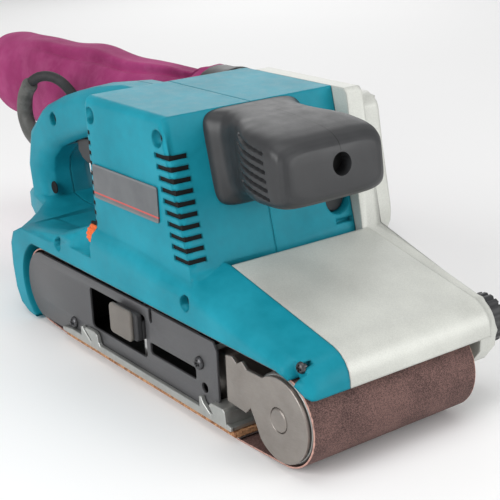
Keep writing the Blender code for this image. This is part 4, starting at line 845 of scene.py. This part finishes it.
class SANDER_OT_bag(SanderOperator):
    """Dust bag: a gathered cloth sack with a folded seam along its top

    Each ring is a superellipse, |y/a|^n + |z/b|^n = 1 with n = 2.35, moved out by the swell."""
    bl_idname = "sander.bag"
    bl_label = "Dust bag"

    def execute(self, context):
        sizes = context.scene.sander_bag
        rows, columns = 150, 96
        low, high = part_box("dust_bag")
        u = np.linspace(0, 1, rows)
        table = np.array(BAG_STATIONS, float)
        half, bottom, top = (softened(np.interp(u, table[:, 0], table[:, k]), 6) for k in (1, 2, 3))
        half[-3:] *= (0.93, 0.8, 0.55)
        angle = np.linspace(0, 2 * math.pi, columns, endpoint=False)[None]
        u = u[:, None]
        c, s = np.cos(angle), np.sin(angle)
        power = 2 / 2.35
        x = high.x - 0.0002 - (high.x - low.x - 0.010) * u + 0 * angle
        y = half[:, None] * np.sign(c) * np.abs(c) ** power
        z = ((top - bottom) / 2)[:, None] * np.sign(s) * np.abs(s) ** power
        # gathers at the neck die out along the cloth; slow buckles cross its sides
        gather = 1.5 * np.exp(-u / 0.13) * np.sin(angle * 13 + 2.1 * np.sin(angle))
        buckle = (1.6 * np.sin(9 * u * (1 + 0.25 * c) + 3.1 * s) * np.sin(math.pi * u)
                  + 1.1 * np.sin(23 * u + 2.0 * angle) * np.sin(math.pi * u) ** 2)
        # a folded seam along the top: a crease beside a roll, both fading near the ends
        crease = (-3.0 * np.exp(-((angle - 2.02 - 0.25 * u) / 0.085) ** 2)
                  * ease((0.86 - u) / 0.3) * ease(u / 0.05))
        roll = (1.9 * np.exp(-((angle - 1.80 - 0.25 * u) / 0.16) ** 2)
                * ease((0.9 - u) / 0.3) * ease(u / 0.05))
        within = np.clip(u * 14, 0, 1)
        swell = (gather + buckle + crease + roll) * within * np.clip((1 - u) * 8, 0, 1)
        length = np.hypot(y, z) + 1e-9
        y, z = y * (1 + swell / length), z * (1 + swell / length)
        centre_y = (low.y + high.y) / 2 / MM
        points = np.stack([x, (centre_y + y) * MM, ((top + bottom) / 2)[:, None] * MM + z * MM], -1)
        girth = np.cumsum(np.full(columns, 0.19 / columns))[None] + 0 * u
        uv = np.stack([girth, u * 0.306 + 0 * angle], -1)
        made = piece("cloth_bag", points, grid_faces(rows, columns, cap=True), finish_of("cloth"),
                     "bag", ("dust_bag",), 180, uv)
        outward(made.data)
        self.settle(context, made, sizes)
        fine = made.modifiers.new("fine cloth", "SUBSURF")
        fine.levels = 1
        fine.render_levels = 1
        return {"FINISHED"}

    @staticmethod
    def settle(context, made, sizes):
        """Lets cloth find its folds under light pressure, then caps how far it moved."""
        mesh = made.data
        count = len(mesh.vertices)
        before = np.empty(count * 3)
        mesh.vertices.foreach_get("co", before)
        before = before.reshape(-1, 3)
        start_x = before[:, 0].max()
        held = [int(i) for i in np.nonzero(before[:, 0] > start_x - 0.006)[0]]
        made.vertex_groups.new(name="collar").add(held, 1.0, "REPLACE")
        cloth = made.modifiers.new("cloth", "CLOTH")
        for setting, value in {
            "quality": 5, "mass": 0.15, "tension_stiffness": 20, "compression_stiffness": 20,
            "shear_stiffness": 5, "bending_stiffness": 0.12, "shrink_min": -0.05,
            "use_pressure": True, "uniform_pressure_force": sizes.pressure,
            "vertex_group_mass": "collar",
        }.items():
            setattr(cloth.settings, setting, value)
        cloth.settings.effector_weights.gravity = 0.15
        for number in range(1, BAG_FRAMES + 1):
            context.scene.frame_set(number)
        graph = context.evaluated_depsgraph_get()
        after = np.empty(count * 3)
        made.evaluated_get(graph).data.vertices.foreach_get("co", after)
        made.modifiers.remove(cloth)
        context.scene.frame_set(1)
        shift = after.reshape(-1, 3) - before
        reach = np.linalg.norm(shift, axis=1)[:, None] + 1e-12
        settled = before + shift * np.minimum(1, sizes.cap / reach)
        low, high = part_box("dust_bag")
        room = np.array([0.002, 0.006, 0.004])
        settled = np.clip(settled, np.array(low) - room, np.array(high) + [0, 0.006, 0.002])
        mesh.vertices.foreach_set("co", settled.astype(np.float32).ravel())
        mesh.update()


# ---- housing, castings and running gear ---------------------------------------------------

VENT_COUNT, VENT_LOW, VENT_PITCH = 10, 80.0, 5.6
SEAM_Y = 5.0
SEAM_LOW = 0.1372
HOUSING_TOP = 150.0
FRONT_TOP = REAR + 140.0
FRONT_SLOPE = 18.0 / (HOUSING_TOP - 76.0)


def front_face(z):
    """X of the housing's sloping front at a height, in millimetres."""
    return FRONT_TOP + (HOUSING_TOP - z) * FRONT_SLOPE


# piece, CAD nodes, finish, body, slot, angle kept sharp, bevel
CAST_PIECES = (
    ("housing_shell_right", ("housing_right",), "teal", "machine", "teal_plastic", 34, 0),
    ("housing_shell_left", ("housing_left",), "teal", "machine", "teal_plastic", 34, 0),
    ("deck_casting", ("frame_casting",), "silver", "machine", "silver_paint", 34, 0),
    ("belt_cover", ("drive_cover",), "silver", "machine", "silver_paint", 34, 0),
    ("idler_bracket_right", ("roller_bracket_right",), "bracket", "yoke", "bracket_plate", 34,
     0.0004),
    ("idler_bracket_left", ("roller_bracket_left",), "bracket", "yoke", "bracket_plate", 34,
     0.0004),
    ("tracking_wheel", ("tracking_knob",), "grip", "tracking", "grip_plastic", 25, 0),
    ("trigger_lever", ("trigger",), "grip", "trigger", "grip_plastic", 34, 0),
    ("lock_pin", ("lock_button",), "grip", "lock", "grip_plastic", 34, 0),
    ("outlet_nozzle", ("dust_nozzle",), "grip", "machine", "grip_plastic", 34, 0),
    ("outlet_collar", ("bag_collar",), "grip", "bag", "grip_plastic", 34, 0),
    ("inner_casting", ("inner_frame",), "inner", "machine", "cast_aluminium", 34, 0),
    ("idler_drum", ("idler_roller",), "alloy", "idler", "cast_aluminium", 34, 0),
    ("drive_drum", ("drive_roller",), "rubber", "drive", "black_rubber", 34, 0),
)

# CAD nodes whose shape is right as it is, by finish
PLAIN_NODES = {
    "steel": ("backing_plate", "drive_shaft", "driven_pulley", "drive_bearing_right",
              "drive_bearing_left", "motor_pulley", "motor_shaft", "field_core",
              "motor_bearing_right", "motor_bearing_left", "tension_spring", "lever_pin"),
    "copper": ("armature_core", "commutator"),
    "grip": ("cooling_fan", "brush_cap_front", "brush_cap_rear", "switch_body"),
    "graphite": ("carbon_brush_front", "carbon_brush_rear", "graphite_pad"),
    "rubber": ("timing_belt",),
    "cork": ("cork_pad",),
    "alloy": ("carriage_block",),
    "bracket": ("carriage_yoke", "idler_axle"),
}


class SANDER_OT_castings(SanderOperator):
    """Housing halves, castings and other rigid pieces, merged and smoothed"""
    bl_idname = "sander.castings"
    bl_label = "Castings"

    def execute(self, context):
        for name, nodes, finish, body, slot, sharp, bevel in CAST_PIECES:
            cast(name, nodes, finish_of(finish), body, sharp, bevel)
        for finish, nodes in PLAIN_NODES.items():
            for node in nodes:
                NODES[node].data.materials.clear()
                NODES[node].data.materials.append(finish_of(finish).material)
        low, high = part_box("name_plate")
        plate = NODES["name_plate"].data
        plate.materials.clear()
        plate.materials.append(label_finish(low.z, high.z).material)
        return {"FINISHED"}


# X and Z of a blind bore, its radius and where its dark floor of painted shade ends, in millimetres
BORE_SHADE_FLOORS = ((REAR - 48, 114, 4.1, -9.1), (REAR - 62, 66, 4.1, -9.1),
               (REAR + 159, 61, 4.1, -48.1), (REAR + 24, 58.5, 4.1, -45.1),
               (REAR + 135, 139, 4.5, -42.1), (REAR + 67.5, 140, 4.5, -42.1))
SCREWS = ("side_plate_screw_1", "side_plate_screw_2", "skirt_screw", "housing_screw_1",
          "housing_screw_2")


class SANDER_OT_fittings(SanderOperator):
    """Side sheet, platen sole, release knob, speed wheel, screws and dark slabs of painted shade"""
    bl_idname = "sander.fittings"
    bl_label = "Fittings"

    def execute(self, context):
        self.side_sheet()
        self.sole()
        self.release_knob()
        self.speed_wheel()
        self.painted_shade_slabs()
        for node in SCREWS:
            cross_head(node.replace("screw", "cross_screw"), node, finish_of("screw"))
        return {"FINISHED"}

    @staticmethod
    def side_sheet():
        """Outline: an arc round the drive roller, then straight edges with a notch in the top."""
        low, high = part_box("side_plate")
        low_z, top, edge, arc = low.z / MM, 47.0, high.x / MM, 21.4
        turn = np.radians(np.linspace(100, 250, 24))
        rear = [(REAR + arc * math.cos(a), AXIS_Z / MM + arc * math.sin(a)) for a in turn]
        outline = rear + [(-106, low_z), (edge - 3, low_z), (edge, low_z + 3), (edge, top - 4),
                          (edge - 3, top), (8.0, top), (8.0, 40.6), (6.4, 38.8), (4.8, 40.6),
                          (4.8, top)]
        # the release knob's window, the slot and the round hole
        holes = [rounded_box(-59, 17.5, 1, 41.4, 2.5), rounded_box(4.5, 21.5, 48, 28, 1.5),
                 rounded_box(52.6, 17.0, 58.1, 22.5, 2.6)]
        middle = (low.y + high.y) / 2 / MM
        sheet_metal("side_sheet", outline, holes, middle, 1.5, finish_of("plate"), "machine",
                    ("side_plate",))
        # the pressed inner arm that shows through the slot and beside the release knob
        arm = [(1.0, 46.5), (1.0, 32), (2.5, 29.5), (6, 27.8), (49, 27.0), (49, 46.5)]
        blocks("pressed_arm", [(arm, -50.2, -49.2)], finish_of("plate"), "machine")

    @staticmethod
    def sole():
        """A flat sole with a narrow upturned rail along the open side and lugs on it."""
        low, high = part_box("platen_shoe")
        rear, front, under = low.x / MM, high.x / MM - 5, low.z / MM
        rail = [(rear, 0), (front, 0), (front, 2.3), (front - 8, 4.0), (rear + 12, 4.0),
                (rear, 2.3)]
        flat = [(rear, 0), (front, 0), (front, 2.3), (rear, 2.3)]
        post = [(-68.5, 0.4), (-68.5, 9.6), (-66.6, 10.2), (-65.4, 8.4), (-57.5, 3.2), (-57.5, 0.4)]
        block = [(-55.2, 0.4), (-55.2, 3.4), (-63.8, 9.2), (-62.6, 10.6), (-52.5, 11.0),
                 (-49.6, 9.6), (-48.6, 5.4), (-46.4, 3.4), (-46.4, 0.4)]
        hook = [(53.5, 0.4), (53.5, 10.0), (55.4, 10.4), (56.6, 7.6), (63.5, 3.0), (63.5, 0.4)]
        tab = [(62.2, 8.2), (64.5, 10.0), (74.5, 10.4), (76.2, 8.8), (77.0, 1.0), (68.5, 1.0),
               (66.8, 3.2)]
        outer = -54.6
        parts = [(rail, outer, -52.2), (flat, -53.6, high.y / MM), (tab, outer - 0.5, -38)]
        parts += [(lug, outer - 0.25, -52.4) for lug in (post, block, hook)]
        # heights above are from the underside
        parts = [([(x, under + z) for x, z in shape], start, end) for shape, start, end in parts]
        blocks("platen_sole", parts, finish_of("alloy"), "machine",
               ("platen_shoe",), 0.0004)

    @staticmethod
    def release_knob():
        """A dark pull behind a paler rounded pad."""
        pull = rounded_box(-26.0, 26.6, -1.6, 42.2, 2.0)
        root = rounded_box(-24, 27, -1.6, 38.0, 1.5)
        blocks("release_catch", [(pull, -55.6, -52.3), (root, -52.4, -44.0)], finish_of("lever"),
               "release", ("release_lever",), 0.0006)
        pad = rounded_box(-27.8, 25.6, -5.2, 43.2, 3.0, 6)
        blocks("release_pad", [(pad, -57.6, -55.3)], finish_of("knob"), "release",
               (), 0.0009, 3)

    @staticmethod
    def speed_wheel():
        """Radius is a circle with shallow cosine ridges; its rims are drawn in."""
        low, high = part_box("speed_dial")
        centre = (low + high) / 2
        angle = np.linspace(0, 2 * math.pi, 180, endpoint=False)[None]
        across = np.array([-4.0, -3.9, -3.4, -1.2, 1.2, 3.4, 3.9, 4.0])[:, None] * MM
        drawn = np.array([0.0, 5.7, 6.3, 6.4, 6.4, 6.3, 5.7, 0.0])[:, None] * MM
        radius = drawn * (1 + 0.035 * np.clip(2.2 * np.cos(angle * 15), -1, 1)) + 0.00005
        points = np.stack([centre.x + across + 0 * angle, centre.y + radius * np.cos(angle),
                           centre.z + radius * np.sin(angle)], -1)
        made = piece("speed_wheel", points, grid_faces(8, 180, cap=True), finish_of("orange"),
                     "dial", ("speed_dial",), 40)
        outward(made.data)

    @staticmethod
    def painted_shade_slabs():
        """Painted shade: dark fillings set back inside the vent slots, the wheel's slot and the
        grip's bore.
        """
        # each slab is a near-black sheet set back in a slot where shade falls: painted shade
        slabs = []
        for i in range(VENT_COUNT):
            z = VENT_LOW + i * VENT_PITCH
            face = front_face(z)
            for start, end in ((face - 12.9, face - 0.9), (REAR + 62.2, REAR + 65.9)):
                slot = [(start, z - 1.25), (end, z - 1.25), (end, z + 1.25), (start, z + 1.25)]
                slabs.append((slot, -47.1, -37.2))
        low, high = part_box("speed_dial")
        dial = (low + high) / 2 / MM
        # painted shade: a dark frame in the wheel's slot, where the gap falls into shade
        around = rounded_box(dial.x - 4.5, dial.z - 7.4, dial.x + 4.5, dial.z + 7.4, 1)
        slabs.append((around, -45.8, -44.9))
        for x, z, radius, floor in BORE_SHADE_FLOORS:
            disc = rounded_box(x - radius, z - radius, x + radius, z + radius, radius - 0.01, 6)
            slabs.append((disc, floor - 0.5, floor))
        blocks("vent_painted_shade", slabs, finish_of("shadow"), "machine", (), 0)
        # painted shade: a near-black tube inside the grip's bore
        y, z, radius = GRIP_HOLE
        path = np.array([[84.0, y, z], [89.0, y, z]]) * MM
        points, faces = swept(evenly(path, 0.001), radius * 1.02 * MM, 28)
        bore = piece("grip_bore_shade", points, faces, finish_of("shadow"), "machine",
                     (), 40)
        outward(bore.data)


# distance ahead of the housing, low and high Y, low and high Z, squareness and lean of a section
GRIP_STATIONS = ((-1.5, -25.5, 35.5, 102.3, 149.7, 7, 0.243),
                 (1.5, -25.5, 35.5, 102.3, 149.7, 7, 0.243),
                 (4, -24.5, 34.5, 103, 149.7, 6, 0.24), (8, -21.5, 32, 105, 149.6, 5, 0.21),
                 (14, -20.5, 31, 107.5, 149.5, 4.6, 0.17), (22, -22, 30.5, 110, 149.4, 4.6, 0.13),
                 (30, -26, 31, 111.5, 149.2, 5, 0.12), (38, -29.8, 33.5, 112, 148.7, 5.6, 0.12),
                 (46, -31.2, 35, 112, 148, 6, 0.12), (56, -31.2, 35, 112.2, 146.8, 6, 0.12),
                 (62, -30.8, 34.4, 112.8, 145.4, 6, 0.12),
                 (65.5, -29.8, 33.2, 114, 143.6, 5.6, 0.12),
                 (67.8, -28, 31.2, 115.8, 141.6, 5, 0.12),
                 (69, -25.6, 28.8, 117.8, 139.6, 4.6, 0.12))
GRIP_FLANGE = FRONT_TOP + 0.3
GRIP_FACE_LEAN = 0.12
# Y, Z and radius of the bore in the face
GRIP_HOLE = (5.0, 131.0, 5.6)
# number of grooves in each flank, height of the first, pitch, width and depth
GRIP_RIBS = (6, 143.2, 4.1, 2.1, 1.8)


class SANDER_OT_grip(SanderOperator):
    """Front grip: one skin from its flange to the bore in its face"""
    bl_idname = "sander.grip"
    bl_label = "Front grip"

    def execute(self, context):
        """Superellipse rings |y|^n + |z|^n = 1 carried ahead, shrunk on the face to the bore."""
        columns = 420
        table = np.array(GRIP_STATIONS, float)
        ahead = np.unique(np.concatenate([np.arange(table[0, 0], 66, 0.7), np.linspace(66, 69, 9)]))
        right, left, low, high, power, lean = (np.interp(ahead, table[:, 0], table[:, k])[:, None]
                                               for k in range(1, 7))
        right, left, low, high = (self.eased(v) for v in (right, left, low, high))
        angle = np.linspace(0, 2 * math.pi, 6000)[None]
        c, s = np.cos(angle), np.sin(angle)
        y = np.sign(c) * np.abs(c) ** (2 / power) * (left - right) / 2 + (left + right) / 2
        z = np.sign(s) * np.abs(s) ** (2 / power) * (high - low) / 2 + (high + low) / 2
        rings = np.array([self.ring(y[k], z[k], columns) for k in range(len(ahead))])
        y, z = rings[..., 0], rings[..., 1]
        x = GRIP_FLANGE + ahead[:, None] + (HOUSING_TOP - z) * lean
        count, top, pitch, width, depth = GRIP_RIBS
        middle, half = (left + right) / 2, (left - right) / 2
        flank = ease((np.abs(y - middle) - half + 3.5) / 1.5)
        for k in range(count):
            line = top - k * pitch - (x - 60) * 0.16
            start, end = 55 + k * 1.1, 82.5 + k * 0.8
            groove = (ease((width / 2 - np.abs(z - line)) / 0.7) * ease((x - start) / 1.2)
                      * ease((end - x) / 1.2) * flank)
            y = y - np.sign(y - middle) * depth * groove
        bore_y, bore_z, bore = GRIP_HOLE
        turn = np.arctan2(z[-1] - bore_z, y[-1] - bore_y)
        rim_y, rim_z = bore_y + bore * np.cos(turn), bore_z + bore * np.sin(turn)
        rim_x = GRIP_FLANGE + ahead[-1] + 0.5 + (HOUSING_TOP - rim_z) * GRIP_FACE_LEAN
        rows = [np.stack([x, y, z], -1)]
        for share in (0.12, 0.3, 0.5, 0.7, 0.85, 0.95, 1.0):
            swell = 0.5 * math.sin(share * math.pi / 2)
            row_y = y[-1] + (rim_y - y[-1]) * share
            row_z = z[-1] + (rim_z - z[-1]) * share
            row_x = GRIP_FLANGE + ahead[-1] + swell + (HOUSING_TOP - row_z) * GRIP_FACE_LEAN
            rows.append(np.stack([row_x, row_y, row_z], -1)[None])
        for back in (0.6, 6.0, 14.0):
            rows.append(np.stack([rim_x - back, rim_y, rim_z], -1)[None])
        points = np.concatenate(rows) * MM
        made = piece("grip_shell", points, grid_faces(len(points), columns, cap=True),
                     finish_of("seamed grip"), "machine",
                     ("front_grip_right", "front_grip_left"), 40)
        outward(made.data)
        return {"FINISHED"}

    @staticmethod
    def eased(values):
        """Rounds the corners that straight lines between stations leave."""
        flat = softened(values[:, 0], 5)
        tail = ease((np.arange(len(flat)) - len(flat) + 16) / 6)
        return (flat * (1 - tail) + values[:, 0] * tail)[:, None]

    @staticmethod
    def ring(y, z, columns):
        """The same ring with its points evenly spaced."""
        lengths = np.concatenate([[0], np.cumsum(np.hypot(np.diff(y), np.diff(z)))])
        places = np.linspace(0, lengths[-1], columns, endpoint=False)
        return np.stack([np.interp(places, lengths, y), np.interp(places, lengths, z)], -1)


class SANDER_PT_panel(bpy.types.Panel):
    bl_label = "Belt sander"
    bl_idname = "SANDER_PT_panel"
    bl_space_type = "VIEW_3D"
    bl_region_type = "UI"
    bl_category = "Sander"

    def draw(self, context):
        for operator in OPERATORS:
            self.layout.operator(operator.bl_idname)


GROUPS = {"sander_stage": StageSizes, "sander_housing": HousingSizes, "sander_belt": BeltSizes,
          "sander_bag": BagSizes, "sander_cord": CordSizes}
OPERATORS = (SANDER_OT_stage, SANDER_OT_cord, SANDER_OT_castings, SANDER_OT_grip,
             SANDER_OT_fittings, SANDER_OT_belt, SANDER_OT_bag)


def register():
    for group in GROUPS.values():
        bpy.utils.register_class(group)
    for operator in OPERATORS:
        bpy.utils.register_class(operator)
    bpy.utils.register_class(SANDER_PT_panel)
    for name, group in GROUPS.items():
        setattr(bpy.types.Scene, name, bpy.props.PointerProperty(type=group))


def unregister():
    for name in GROUPS:
        delattr(bpy.types.Scene, name)
    bpy.utils.unregister_class(SANDER_PT_panel)
    for operator in reversed(OPERATORS):
        bpy.utils.unregister_class(operator)
    for group in GROUPS.values():
        bpy.utils.unregister_class(group)


def main():
    register()
    bpy.ops.sander.stage()
    bpy.ops.sander.cord()
    bpy.ops.sander.castings()
    bpy.ops.sander.grip()
    bpy.ops.sander.fittings()
    bpy.ops.sander.belt()
    bpy.ops.sander.bag()


if __name__ == "__main__":
    main()
